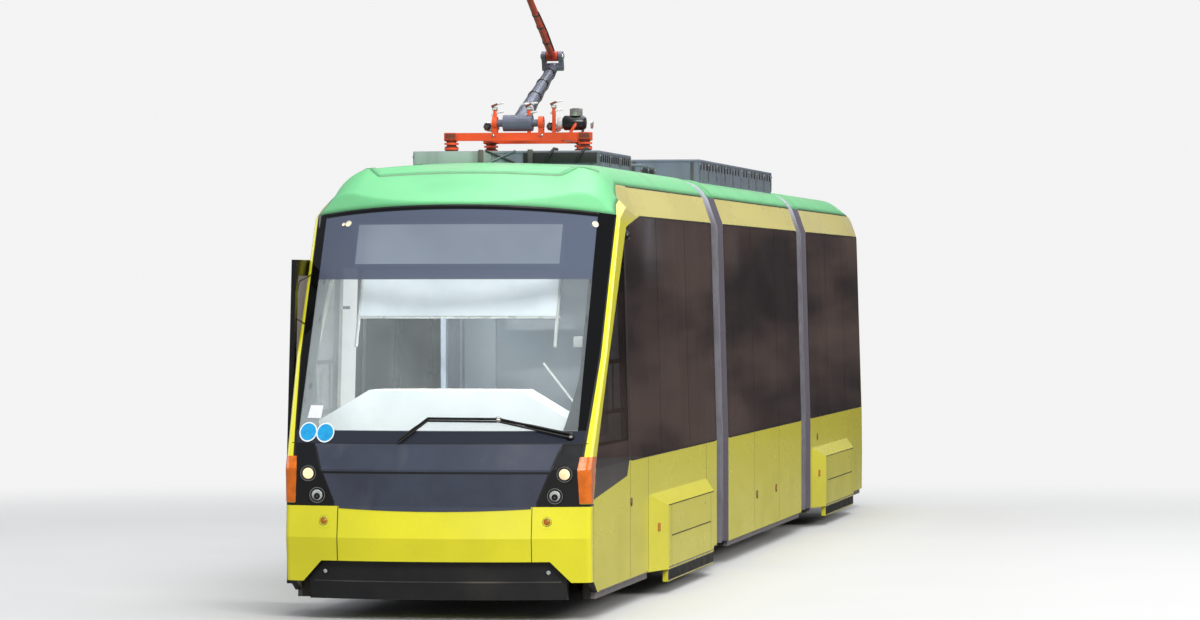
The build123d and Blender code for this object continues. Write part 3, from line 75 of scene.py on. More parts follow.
camera_data = bpy.data.cameras.new("view_camera")
camera = placed("view_camera", camera_data)
bpy.context.scene.camera = camera
camera_data.sensor_fit = "HORIZONTAL"
camera_data.sensor_width = SENSOR_WIDTH
camera_data.lens = SENSOR_WIDTH * FOCAL_PIXELS / IMAGE_WIDTH
camera_data.clip_end = 400
look = Vector((
    -math.cos(CAMERA_YAW) * math.cos(CAMERA_PITCH),
    -math.sin(CAMERA_YAW) * math.cos(CAMERA_PITCH),
    math.sin(CAMERA_PITCH),
))
right = look.cross(Vector((0, 0, 1))).normalized()
up = right.cross(look)
right, up = (
    right * math.cos(CAMERA_ROLL) + up * math.sin(CAMERA_ROLL),
    up * math.cos(CAMERA_ROLL) - right * math.sin(CAMERA_ROLL),
)
camera.matrix_world = Matrix.Translation(CAMERA_AT) @ Matrix((right, up, -look)).transposed().to_4x4()
bpy.context.scene.view_settings.view_transform = "Standard"

# Places on a line


def lean(low_value, low_at, high_value, high_at, at):
    """The value at a place on the straight line through two points."""
    return low_value + (high_value - low_value) * (at - low_at) / (high_at - low_at)


def spread(low, high, steps):
    """Evenly spaced values from low to high."""
    return [lean(low, 0, high, steps, i) for i in range(steps + 1)]


def line(a, b, count):
    """Evenly spaced places from a to b."""
    return list(zip(*(spread(p, q, count - 1) for p, q in zip(a, b))))


def circle(count):
    """Cosines and sines at even steps round a circle."""
    return [(math.cos(t), math.sin(t)) for t in (2 * math.pi * k / count for k in range(count))]


# Materials. Colours are written as screen values from 0 to 255.
COAT_ROUGHNESS = 0.06


class Wire:
    """A value in a node tree. Arithmetic on it adds maths nodes."""

    def __init__(self, maker, socket):
        self.maker = maker
        self.socket = socket

    def __add__(self, other):
        return self.maker.math("ADD", self, other)

    def __radd__(self, other):
        return self.maker.math("ADD", other, self)

    def __sub__(self, other):
        return self.maker.math("SUBTRACT", self, other)

    def __rsub__(self, other):
        return self.maker.math("SUBTRACT", other, self)

    def __mul__(self, other):
        return self.maker.math("MULTIPLY", self, other)

    def __abs__(self):
        return self.maker.math("ABSOLUTE", self)


def linear(colour):
    """Screen values as the linear colour that nodes take; a wire or a linear colour stays as it is."""
    if isinstance(colour, Wire) or len(colour) == 4:
        return colour
    return tuple(((c / 255) / 12.92 if c < 11 else ((c / 255 + 0.055) / 1.055) ** 2.4) for c in colour) + (1,)


def dimmed(colour, share):
    return tuple(c * share for c in linear(colour)[:3]) + (1,)


class Nodes:
    """Builds a node tree from nothing."""

    def __init__(self, owner):
        owner.use_nodes = True
        self.tree = owner.node_tree
        self.tree.nodes.clear()

    def node(self, kind, inputs=None, output=0, **settings):
        """Adds a node with its settings and inputs, and gives one of its outputs."""
        made = self.tree.nodes.new(kind)
        for key, value in settings.items():
            setattr(made, key, value)
        for key, value in (inputs or {}).items():
            if isinstance(value, Wire):
                self.tree.links.new(value.socket, made.inputs[key])
            else:
                made.inputs[key].default_value = value
        return Wire(self, made.outputs[output]) if made.outputs else None

    def math(self, operation, a, b=0.0, clamp=False):
        return self.node("ShaderNodeMath", {0: a, 1: b}, operation=operation, use_clamp=clamp)


class Paint(Nodes):
    """Builds one procedural material."""

    def __init__(self, name):
        self.material = bpy.data.materials.new(name)
        super().__init__(self.material)
        self.place = self.node("ShaderNodeTexCoord", output="Object")
        self.x, self.y, self.z = self.split(self.place)
        _, self.normal_y, self.normal_z = self.split(self.node("ShaderNodeTexCoord", output="Normal"))

    def split(self, vector):
        first = self.node("ShaderNodeSeparateXYZ", {0: vector})
        return [Wire(self, socket) for socket in first.socket.node.outputs]

    def larger(self, first, *others):
        for other in others:
            first = self.math("MAXIMUM", first, other)
        return first

    def range(self, value, low, high, to_low=0.0, to_high=1.0):
        return self.node("ShaderNodeMapRange", {0: value, 1: low, 2: high, 3: to_low, 4: to_high},
                         interpolation_type="SMOOTHSTEP")

    def noise(self, scale, detail=4.0, scales=None):
        place = self.place
        if scales is not None:
            place = self.node("ShaderNodeMapping", {0: place, "Scale": scales})
        return self.node("ShaderNodeTexNoise", {"Vector": place, "Scale": scale, "Detail": detail})

    def patches(self, scale, detail=4.0, scales=None, low=0.35, high=0.7):
        """A mask of soft patches."""
        return self.range(self.noise(scale, detail, scales), low, high)

    def uneven(self, scale, low, high):
        """A value that wanders between two."""
        return self.range(self.noise(scale), 0.3, 0.7, low, high)

    def bands(self, direction, scale):
        return self.node("ShaderNodeTexWave", {"Vector": self.place, "Scale": scale}, wave_type="BANDS",
                         bands_direction=direction)

    def cells(self, scale):
        return self.node("ShaderNodeTexVoronoi", {"Vector": self.place, "Scale": scale}, "Distance")

    def mix(self, share, a, b):
        return self.node("ShaderNodeMix", {0: share, 6: linear(a), 7: linear(b)}, 2, data_type="RGBA")

    def bump(self, height, strength, distance, normal=None):
        inputs = {"Height": height, "Strength": strength, "Distance": distance}
        return self.node("ShaderNodeBump", inputs if normal is None else {**inputs, "Normal": normal})

    def shader(self, colour, roughness, bump, metallic=0.0, coat=0.0, emission=None, power=0.0):
        inputs = {
            "Base Color": linear(colour), "Roughness": roughness, "Metallic": metallic, "Coat Weight": coat,
            "Coat Roughness": COAT_ROUGHNESS, "Normal": bump,
        }
        if emission is not None:
            inputs.update({"Emission Color": emission, "Emission Strength": power})
        return self.node("ShaderNodeBsdfPrincipled", inputs)

    def done(self, shader):
        self.node("ShaderNodeOutputMaterial", {"Surface": shader})
        return self.material


# Levels that the finishes follow
BODY_HALF = 1.15
WAIST_Z = 1.123
GLASS_TOP_Z = 3.029
BAND_TOP_Z = 3.266
SCREEN_FOOT_Z = 1.31
BAND_SLOPE = 0.083 / (BAND_TOP_Z - GLASS_TOP_Z)
SIDE_SLOPE = 0.05 / (GLASS_TOP_Z - WAIST_Z)

# The windscreen's corner seam and the yellow rib behind it, as (x, z)
SEAM_FOOT = (9.545, 0.870)
SEAM_LOW = (9.565, 1.123)
SEAM_HIGH = (8.350, 3.020)
RIB_WAIST = (9.317, 1.123)
RIB_KNEE = (8.871, 1.95)
RIB_TOP = (8.0, 2.97)

# The fascia's outer edge, as (y, z)
FASCIA_TOP = (0.936, 1.315)
FASCIA_KNEE = (0.879, 1.150)
FASCIA_FOOT = (0.755, 0.850)

YELLOW = (236, 229, 42)
YELLOW_SIDE = (226, 217, 52)
BAND = (226, 214, 128)
GRIME = (128, 118, 40)
BED_BLACK = (14, 14, 15)
LINING = (196, 190, 172)
DUST = (120, 112, 98)


def body_depth(p):
    """How far inside the side's outer face a point lies."""
    above = p.larger(p.z - WAIST_Z, 0.0)
    band = p.larger(p.z - GLASS_TOP_Z, 0.0)
    return BODY_HALF - above * SIDE_SLOPE - band * (BAND_SLOPE - SIDE_SLOPE) - abs(p.y)


def faces_inward(p):
    """1 on faces turned towards the vehicle's middle."""
    return p.range(p.normal_y * p.y, -0.02, -0.08)


def ahead_of_seam(p):
    """1 in front of the windscreen's corner seam."""
    slope = (SEAM_HIGH[0] - SEAM_LOW[0]) / (SEAM_HIGH[1] - SEAM_LOW[1])
    seam = (p.z - SEAM_LOW[1]) * slope + SEAM_LOW[0]
    return p.range(p.x - seam, -0.008, -0.005)


def yellow_paint(name, colour, dirt, rule=None, front=False):
    """Gloss yellow with road dirt below the waist and painted shade on faces that look down; the rule
    recolours faces that other parts hide or line.
    """
    p = Paint(name)
    mottle = p.noise(1.7, 3.0, (0.3, 1.0, 1.0))
    shade = p.mix(p.range(mottle, 0.35, 0.7), colour, dimmed(colour, 0.9))
    shade = p.mix(p.range(p.z, 2.93, 3.07), shade, BAND)
    streaks = p.patches(1.0, 3.0, (0.5, 1.6, 0.5), 0.42, 0.75)
    splash = p.patches(1.8, 4.0, (0.35, 1.0, 1.0), 0.42, 0.75)
    amount = (streaks * 0.45 + splash * 0.3) * p.range(p.z, 1.12, 0.35)
    if not front:
        amount = amount * (p.range(abs(p.normal_y), 0.3, 0.8) * 0.75 + 0.25)
    amount = p.math("MULTIPLY", amount, dirt, clamp=True)
    shade = p.mix(amount, shade, GRIME)
    shade = p.mix(p.patches(40.0, 2.0, (0.2, 1.0, 1.0), 0.5, 0.8) * 0.06, shade, (188, 180, 110))
    if rule is not None:
        shade = rule(p, shade)
    # Painted shade: faces that look down are painted near black.
    shade = p.mix(p.range(p.normal_z, -0.45, -0.65), shade, (34, 32, 29))
    rough = amount * 0.3 + p.range(mottle, 0.3, 0.8, 0.24, 0.36)
    waves = p.noise(0.9, 1.0, (0.4, 1.0, 1.0)) + p.noise(120.0, 1.0, (0.2, 1.0, 1.0)) * 0.0015
    return p.done(p.shader(shade, rough, p.bump(waves, 0.25, 0.01), coat=0.35))


def wall_rule(p, shade):
    """Glass beds black, lining pale and the faces beside the bellows grey."""
    depth = body_depth(p)
    upright = p.range(p.z, WAIST_Z - 0.25, WAIST_Z - 0.2) * p.range(p.z, 3.03, 3.026)
    bed = p.range(depth, 0.005, 0.007) * upright
    band = p.range(p.z, WAIST_Z, WAIST_Z + 0.002) * p.range(p.z, GLASS_TOP_Z + 0.002, GLASS_TOP_Z)
    shade = p.mix(p.larger(bed, band), shade, BED_BLACK)
    shade = p.mix(p.range(depth, 0.046, 0.049) * faces_inward(p), shade, LINING)
    ends = (("front_side_left", 0), ("middle_side_left", 0), ("middle_side_left", 1), ("rear_side_left", 1))
    for node, end in ends:
        gap = abs(p.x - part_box(node)[end][0])
        shade = p.mix(p.range(gap, 0.003, 0.002), shade, (104, 99, 108))
    return shade


def arch_rule(p, shade):
    shade = p.mix(ahead_of_seam(p), shade, BED_BLACK)
    return p.mix(faces_inward(p), shade, (60, 60, 58))


def rear_rule(p, shade):
    across = p.range(abs(p.y), 0.944, 0.942)
    tall = p.range(p.z, 1.206, 1.208) * p.range(p.z, 2.894, 2.892)
    return p.mix(across * tall, shade, BED_BLACK)


def roof_paint():
    """Green gloss, dusty on top, pale on the ceiling."""
    p = Paint("green_roof")
    mottle = p.noise(1.2, 5.0)
    shade = p.mix(p.range(mottle, 0.35, 0.7), (112, 198, 134), (104, 184, 124))
    shade = p.mix(p.range(p.x, 7.0, 8.0), p.mix(0.45, shade, (118, 178, 128)), shade)
    dust = p.range(p.z, 3.32, 3.44) * p.patches(3.0, 7.0, None, 0.38, 0.7) * 0.5
    shade = p.mix(dust, shade, (150, 160, 138))
    ceiling = p.range(p.normal_z, -0.05, -0.2) * p.range(abs(p.y), 1.09, 1.06)
    shade = p.mix(ceiling, shade, (198, 198, 190))
    waves = p.noise(1.1, 1.0) + p.noise(240.0, 1.0) * 0.006
    rounded = p.node("ShaderNodeBevel", {"Radius": 0.07}, samples=6)
    rough = p.range(mottle, 0.3, 0.8, 0.46, 0.6)
    return p.done(p.shader(shade, rough, p.bump(waves, 0.35, 0.012, rounded), coat=0.03))


def simple_paint(name, colour, rough=(0.3, 0.45), coat=0.0, metallic=0.0, grain=220.0, depth=0.0006,
                 mottle=0.14, stretch=None, dirt=None):
    """A surface with mottled colour, uneven gloss and a fine grain."""
    p = Paint(name)
    shade = p.mix(p.patches(4.0, 5.0, None, 0.35, 0.68), colour, dimmed(colour, 1 - mottle))
    if dirt is not None:
        shade = p.mix(p.patches(2.2, 8.0, None, 0.4, 0.75) * 0.55, shade, dirt)
    bump = p.bump(p.noise(grain, 2.0, stretch), 0.4, depth)
    return p.done(p.shader(shade, p.uneven(9.0, *rough), bump, metallic=metallic, coat=coat))


def dash_paint():
    """White moulded plastic with a painted glow that stands in for the daylight flooding it."""
    p = Paint("dash_plastic")
    shade = p.mix(p.patches(3.0), (247, 249, 251), (238, 241, 244))
    bump = p.bump(p.noise(500.0), 0.3, 0.0003)
    # The emission is a painted glow, not a lamp.
    return p.done(p.shader(shade, p.uneven(9.0, 0.4, 0.55), bump, emission=shade, power=0.42))


def box_paint():
    """Pale grey roof boxes, their ends painted darker and cooler on the vehicle's left as painted shade, with
    stains run down from their lids.
    """
    p = Paint("box_paint")
    # Painted shade: the vehicle's left side darker and cooler than its right.
    shade = p.mix(p.range(p.y, -0.25, 0.1), (150, 166, 158), (104, 112, 126))
    # Top faces take one middle tone in place of the painted shade.
    shade = p.mix(p.range(p.normal_z, 0.5, 0.8), shade, (134, 143, 144))
    shade = p.mix(p.patches(1.0, 6.0, (5.0, 5.0, 0.6), 0.45, 0.7) * 0.4, shade, (82, 84, 80))
    return p.done(p.shader(shade, p.uneven(8.0, 0.4, 0.6), p.bump(p.noise(200.0), 0.4, 0.0005)))


def fascia_paint():
    """Blue-grey gloss panel whose corners beside the lamps are black."""
    p = Paint("fascia_dark")
    low_slope = (FASCIA_KNEE[0] - FASCIA_FOOT[0]) / (FASCIA_KNEE[1] - FASCIA_FOOT[1])
    high_slope = (FASCIA_TOP[0] - FASCIA_KNEE[0]) / (FASCIA_TOP[1] - FASCIA_KNEE[1])
    rise = p.z - FASCIA_KNEE[1]
    edge = FASCIA_KNEE[0] + p.math("MINIMUM", rise, 0.0) * low_slope + p.larger(rise, 0.0) * high_slope
    mottle = p.noise(3.0, 6.0)
    shade = p.mix(p.range(mottle, 0.35, 0.7), (66, 71, 86), (58, 62, 76))
    shade = p.mix(p.patches(5.0, 8.0, (1, 1, 0.4), 0.55, 0.75) * 0.3, shade, (92, 94, 100))
    shade = p.mix(p.range(abs(p.y) - edge, -0.001, 0.002), shade, (13, 13, 15))
    bump = p.bump(p.noise(1.6, 1.0), 0.3, 0.008)
    return p.done(p.shader(shade, p.range(mottle, 0.3, 0.8, 0.16, 0.3), bump, coat=0.5))


def sheer_glass(p, solid, tint, colour, gloss=1.0):
    """Glass that lets light through, solid where the mask is 1, with a mirror gloss on its outer face."""
    fresnel = p.node("ShaderNodeFresnel", {"IOR": 1.5})
    outer = 1.0 - p.node("ShaderNodeNewGeometry", output="Backfacing")
    share = p.math("MAXIMUM", solid, fresnel * gloss * outer, clamp=True)
    clear = p.node("ShaderNodeBsdfTransparent", {"Color": tint})
    surface = p.shader(colour, 0.03, p.bump(p.noise(0.9, 1.0), 0.12, 0.01))
    return p.done(p.node("ShaderNodeMixShader", {0: share, 1: clear, 2: surface}))


def windscreen_glass():
    """Clear glass with a black printed border and a tinted head over the sign."""
    p = Paint("windscreen_glass")
    sides = p.range(abs(p.y + 0.022), 1.052, 1.058)
    foot = p.range(p.z, 1.412, 1.402)
    head = p.range(p.z - (p.x - 8.75) * 0.186, 3.052, 3.062)
    border = p.larger(sides, foot, head)
    tinted = p.range(p.z, 2.527, 2.533)
    beside = p.range(abs(p.y - 0.009), 0.784, 0.789)
    above = p.larger(p.range(p.z, 2.648, 2.645), p.range(p.z, 2.945, 2.948))
    dense = 0.12 + p.larger(beside, above) * 0.72
    # A pale film on the glass: partly haze, partly a painted reflection that grows towards the vehicle's
    # right.
    haze_and_reflection = p.uneven(2.0, 0.10, 0.16) + p.range(p.y, -0.55, -0.95, 0.0, 0.22)
    solid = p.larger(tinted * dense, border, haze_and_reflection)
    pane = p.mix(tinted, (196, 204, 206), (92, 100, 118))
    colour = p.mix(border, pane, p.mix(foot, (10, 10, 11), (44, 48, 58)))
    return sheer_glass(p, solid, (0.95, 0.97, 0.965, 1), colour)


def saloon_glass():
    """Near-black glazing, lighter at the driver's side window."""
    p = Paint("saloon_glass")
    cab = p.range(p.x, 7.655, 7.665) * p.range(p.z, 1.27, 1.3)
    stains = p.range(p.noise(1.0, 6.0, (6.0, 6.0, 0.5)), 0.4, 0.75, 0.0, 0.06)
    solid = 0.86 - cab * 0.64 + stains
    colour = p.mix(p.patches(1.1, 5.0, (0.5, 1, 1.6), 0.42, 0.62), (52, 46, 45), (38, 34, 34))
    # Painted light: inner faces pale, standing in for daylight seen through the glass.
    colour = p.mix(faces_inward(p), colour, (150, 160, 168))
    return sheer_glass(p, solid, (0.55, 0.52, 0.49, 1), colour, gloss=0.85)


def milky_pane():
    """Half-clear grey pane."""
    p = Paint("milky_glass")
    colour = p.mix(p.patches(0.9, 3.0), (132, 143, 155), (118, 129, 141))
    return sheer_glass(p, p.uneven(2.0, 0.62, 0.74), (0.80, 0.84, 0.88, 1), colour, gloss=0.5)


def lens(name, colour, rough=0.12, glow=0.0, ribs=70.0):
    """A coloured lamp lens with moulded ribs."""
    p = Paint(name)
    shade = p.mix(p.range(p.noise(14.0), 0.3, 0.7), colour, dimmed(colour, 0.72))
    bump = p.bump(p.bands("Z", ribs), 0.25, 0.002)
    return p.done(p.shader(shade, rough, bump, coat=0.6, emission=shade, power=glow))


def bellows_fabric():
    """Coated bellows cloth: paler on the roof, dirty at its foot, with a woven grain."""
    p = Paint("bellows_fabric")
    shade = p.mix(p.patches(5.0, 6.0), (112, 110, 118), (96, 94, 101))
    shade = p.mix(p.range(p.z, 3.0, 3.35) * 0.75, shade, (182, 184, 196))
    low = p.range(p.z, 1.0, 0.2) * p.patches(3.0, 7.0, None, 0.4, 0.7)
    shade = p.mix(low * 0.6, shade, (84, 76, 66))
    height = p.bands("Z", 120.0) * 0.5 + p.noise(180.0, 2.0)
    return p.done(p.shader(shade, p.uneven(7.0, 0.5, 0.68), p.bump(height, 0.35, 0.0009)))


def seat_cloth(name, colour, fleck):
    """Woven seat plush with small flecks."""
    p = Paint(name)
    return p.done(p.node("ShaderNodeBsdfPrincipled", {
        "Base Color": p.mix(p.range(p.cells(60.0), 0.18, 0.1), colour, fleck),
        "Roughness": p.uneven(30.0, 0.75, 0.92),
        "Sheen Weight": 0.4,
        "Normal": p.bump(p.bands("Y", 260.0) + p.noise(300.0), 0.4, 0.0008),
    }))


def blind_paint():
    """Pale blind cloth with a painted glow that stands in for the daylight coming through it."""
    p = Paint("blind_cloth")
    shade = p.mix(p.patches(3.0, 5.0), (238, 242, 247), (226, 232, 240))
    bump = p.bump(p.bands("Z", 150.0) * 0.4 + p.noise(420.0), 0.3, 0.0004)
    # The emission is a painted glow, not a lamp.
    return p.done(p.shader(shade, p.uneven(20.0, 0.7, 0.85), bump, emission=shade, power=0.3))


def led_board():
    """Blank sign board: a grid of unlit dots behind a grey filter, with a painted glow that evens out the
    light on it.
    """
    p = Paint("led_board")
    across, up = (abs(p.math("FRACT", axis * 58.0) - 0.5) for axis in (p.y, p.z))
    dot = p.range(p.math("SQRT", across * across + up * up), 0.3, 0.22)
    shade = p.mix(dot * 0.7, (176, 184, 200), (148, 156, 172))
    shade = p.mix(p.patches(2.0) * 0.15, shade, (120, 128, 146))
    # The emission is a painted glow, not a lamp; the dots stay unlit.
    return p.done(p.shader((34, 37, 44), 0.5, p.bump(dot, 0.3, 0.001), emission=shade, power=0.85))


def disc_paint():
    """Plain blue sticker whose rim, by the mesh's ring layer, is white."""
    p = Paint("blue_disc")
    rim = p.range(p.node("ShaderNodeAttribute", output="Fac", attribute_name="ring"), 0.86, 0.89)
    shade = p.mix(rim, p.mix(p.patches(22.0), (28, 164, 222), (20, 148, 206)), (238, 244, 246))
    return p.done(p.node("ShaderNodeBsdfPrincipled", {
        "Base Color": shade,
        "Roughness": p.uneven(30.0, 0.25, 0.4),
        "Coat Weight": 0.3,
        "Coat Roughness": COAT_ROUGHNESS,
    }))


def interior_floor():
    """Dark floor covering with mineral flecks; the underside is painted frame."""
    p = Paint("floor_covering")
    shade = p.mix(p.range(p.cells(90.0), 0.16, 0.1), (62, 64, 66), (120, 120, 116))
    outside = p.larger(p.range(p.normal_z, 0.6, 0.4), p.range(p.z, 0.33, 0.31))
    shade = p.mix(outside, shade, (52, 51, 51))
    sill = p.range(p.z, 0.215, 0.205) * p.range(abs(p.y), 1.095, 1.1)
    shade = p.mix(sill, shade, (116, 112, 116))
    shade = p.mix(p.patches(3.0, 8.0, None, 0.4, 0.7) * 0.4, shade, DUST)
    return p.done(p.shader(shade, p.uneven(10.0, 0.5, 0.75), p.bump(p.noise(150.0), 0.4, 0.0008)))


def sign_case():
    """Sign case: black above, white blind below."""
    p = Paint("sign_case")
    shade = p.mix(p.range(p.z, 2.62, 2.63), (232, 236, 240), (24, 25, 28))
    shade = p.mix(p.patches(6.0) * 0.12, shade, (120, 120, 120))
    return p.done(p.shader(shade, p.uneven(9.0, 0.45, 0.6), p.bump(p.noise(300.0), 0.3, 0.0004)))


yellow_walls = yellow_paint("yellow_walls", YELLOW_SIDE, 0.62, wall_rule)
yellow_arches = yellow_paint("yellow_arches", YELLOW, 0.1, arch_rule, front=True)
yellow_front = yellow_paint("yellow_front", YELLOW, 0.16, front=True)
yellow_rear = yellow_paint("yellow_rear", YELLOW_SIDE, 0.5, rear_rule, front=True)
yellow_covers = yellow_paint("yellow_covers", YELLOW_SIDE, 0.55)
yellow_doors = yellow_paint("yellow_doors", YELLOW_SIDE, 0.5, wall_rule)
green_roof = roof_paint()
black_plastic = simple_paint("black_plastic", (22, 22, 24), (0.38, 0.55), dirt=(52, 50, 47))
apron_black = simple_paint("apron_black", (26, 27, 30), (0.35, 0.5), coat=0.1, dirt=(48, 46, 43))
rubber = simple_paint("seal_rubber", (15, 15, 16), (0.55, 0.75), grain=400.0)
joint_black = simple_paint("joint_black", (30, 28, 20), (0.6, 0.8), grain=300.0)
black_frame = simple_paint("black_frame", (18, 18, 20), (0.25, 0.4), coat=0.2)
frame_grey = simple_paint("frame_grey", (58, 58, 60), (0.5, 0.7), dirt=DUST)
sill_grey = simple_paint("sill_grey", (112, 107, 112), (0.4, 0.6), dirt=(86, 80, 74))
partition_grey = simple_paint("partition_grey", (128, 138, 150), (0.4, 0.55), mottle=0.06)
lining_plastic = simple_paint("lining_plastic", (206, 200, 184), (0.4, 0.55), mottle=0.05)
steel = simple_paint("brushed_steel", (196, 196, 192), (0.2, 0.35), metallic=0.9, grain=90.0, depth=0.0003,
                     stretch=(1, 1, 0.05))
wheel_steel = simple_paint("wheel_steel", (96, 88, 80), (0.35, 0.6), metallic=0.6, dirt=(84, 58, 40))
orange_paint = simple_paint("orange_paint", (238, 82, 24), (0.35, 0.5), coat=0.15, dirt=(150, 60, 30))
arm_grey = simple_paint("arm_grey", (112, 116, 132), (0.3, 0.5), metallic=0.4, dirt=(78, 76, 78))
arm_red = simple_paint("arm_red", (198, 62, 40), (0.4, 0.55), dirt=(140, 50, 36))
carbon = simple_paint("strip_carbon", (70, 70, 74), (0.45, 0.65), grain=160.0, stretch=(1, 0.05, 1))
white_metal = simple_paint("white_metal", (226, 226, 224), (0.25, 0.4), metallic=0.3)
insulator = simple_paint("insulator", (120, 62, 46), (0.15, 0.25), coat=0.5)
cable_black = simple_paint("cable_black", (24, 24, 26), (0.5, 0.65))
reflector = simple_paint("lamp_reflector", (206, 208, 208), (0.08, 0.16), metallic=0.95, mottle=0.05)
seat_shell = simple_paint("seat_shell", (150, 154, 158), (0.35, 0.5))
white_sticker = simple_paint("white_sticker", (236, 238, 240), (0.3, 0.45), mottle=0.05)
dash_plastic = dash_paint()
roof_box_paint = box_paint()
fascia_dark = fascia_paint()
milky_glass = milky_pane()
screen_glass = windscreen_glass()
side_glass = saloon_glass()
amber_lens = lens("amber_lens", (190, 112, 30), glow=0.05)
orange_lens = lens("orange_lens", (226, 112, 22), glow=0.12)
red_lens = lens("red_lens", (150, 18, 14), glow=0.1)
clear_lens = lens("clear_lens", (196, 200, 196), rough=0.08, ribs=110.0)
warm_lamp = lens("warm_lamp", (255, 226, 176), glow=0.75, ribs=160.0)
bellows_cloth = bellows_fabric()
seat_plush = seat_cloth("seat_plush", (34, 50, 96), (190, 160, 60))
driver_plush = seat_cloth("driver_plush", (52, 54, 60), (76, 78, 84))
blind_cloth = blind_paint()
led_panel = led_board()
blue_disc = disc_paint()

NODE_FINISHES = (
    (yellow_walls, "front_side_left front_side_right middle_side_left middle_side_right"),
    (yellow_walls, "rear_side_left rear_side_right"),
    (yellow_doors, "middle_doors rear_door"),
    (yellow_arches, "front_arches"),
    (yellow_front, "bumper"),
    (yellow_rear, "rear_end"),
    (yellow_covers, "front_bogie_covers rear_bogie_covers"),
    (green_roof, "front_roof middle_roof rear_roof"),
    (fascia_dark, "fascia"),
    (screen_glass, "windscreen"),
    (side_glass, "front_side_glass middle_glass rear_glass"),
    (apron_black, "apron"),
    (black_plastic, "wiper side_cameras"),
    (black_frame, "front_door"),
    (reflector, "front_lamps"),
    (red_lens, "tail_lamps"),
    (interior_floor(), "front_underframe middle_underframe rear_underframe"),
    (partition_grey, "cab_partition"),
    (sign_case(), "destination_sign"),
    (seat_shell, "front_seats middle_seats rear_seats driver_seat"),
    (steel, "front_rails middle_rails rear_rails"),
    (roof_box_paint, "front_roof_boxes middle_roof_box"),
    (orange_paint, "pantograph_base"),
    (frame_grey, "front_bogie_frame rear_bogie_frame"),
    (wheel_steel, "wheelset_1 wheelset_2 wheelset_3 wheelset_4"),
    (arm_grey, "lower_arm"),
    (arm_red, "upper_arm"),
    (carbon, "collector_head"),
    (dash_plastic, "dashboard"),
    (bellows_cloth, "front_bellows rear_bellows"),
)
for material, names in NODE_FINISHES:
    for name in names.split():
        mesh = nodes[name].data
        mesh.materials.clear()
        mesh.materials.append(material)


# Mesh building
THIN = 0.0002
SUNK = 0.002


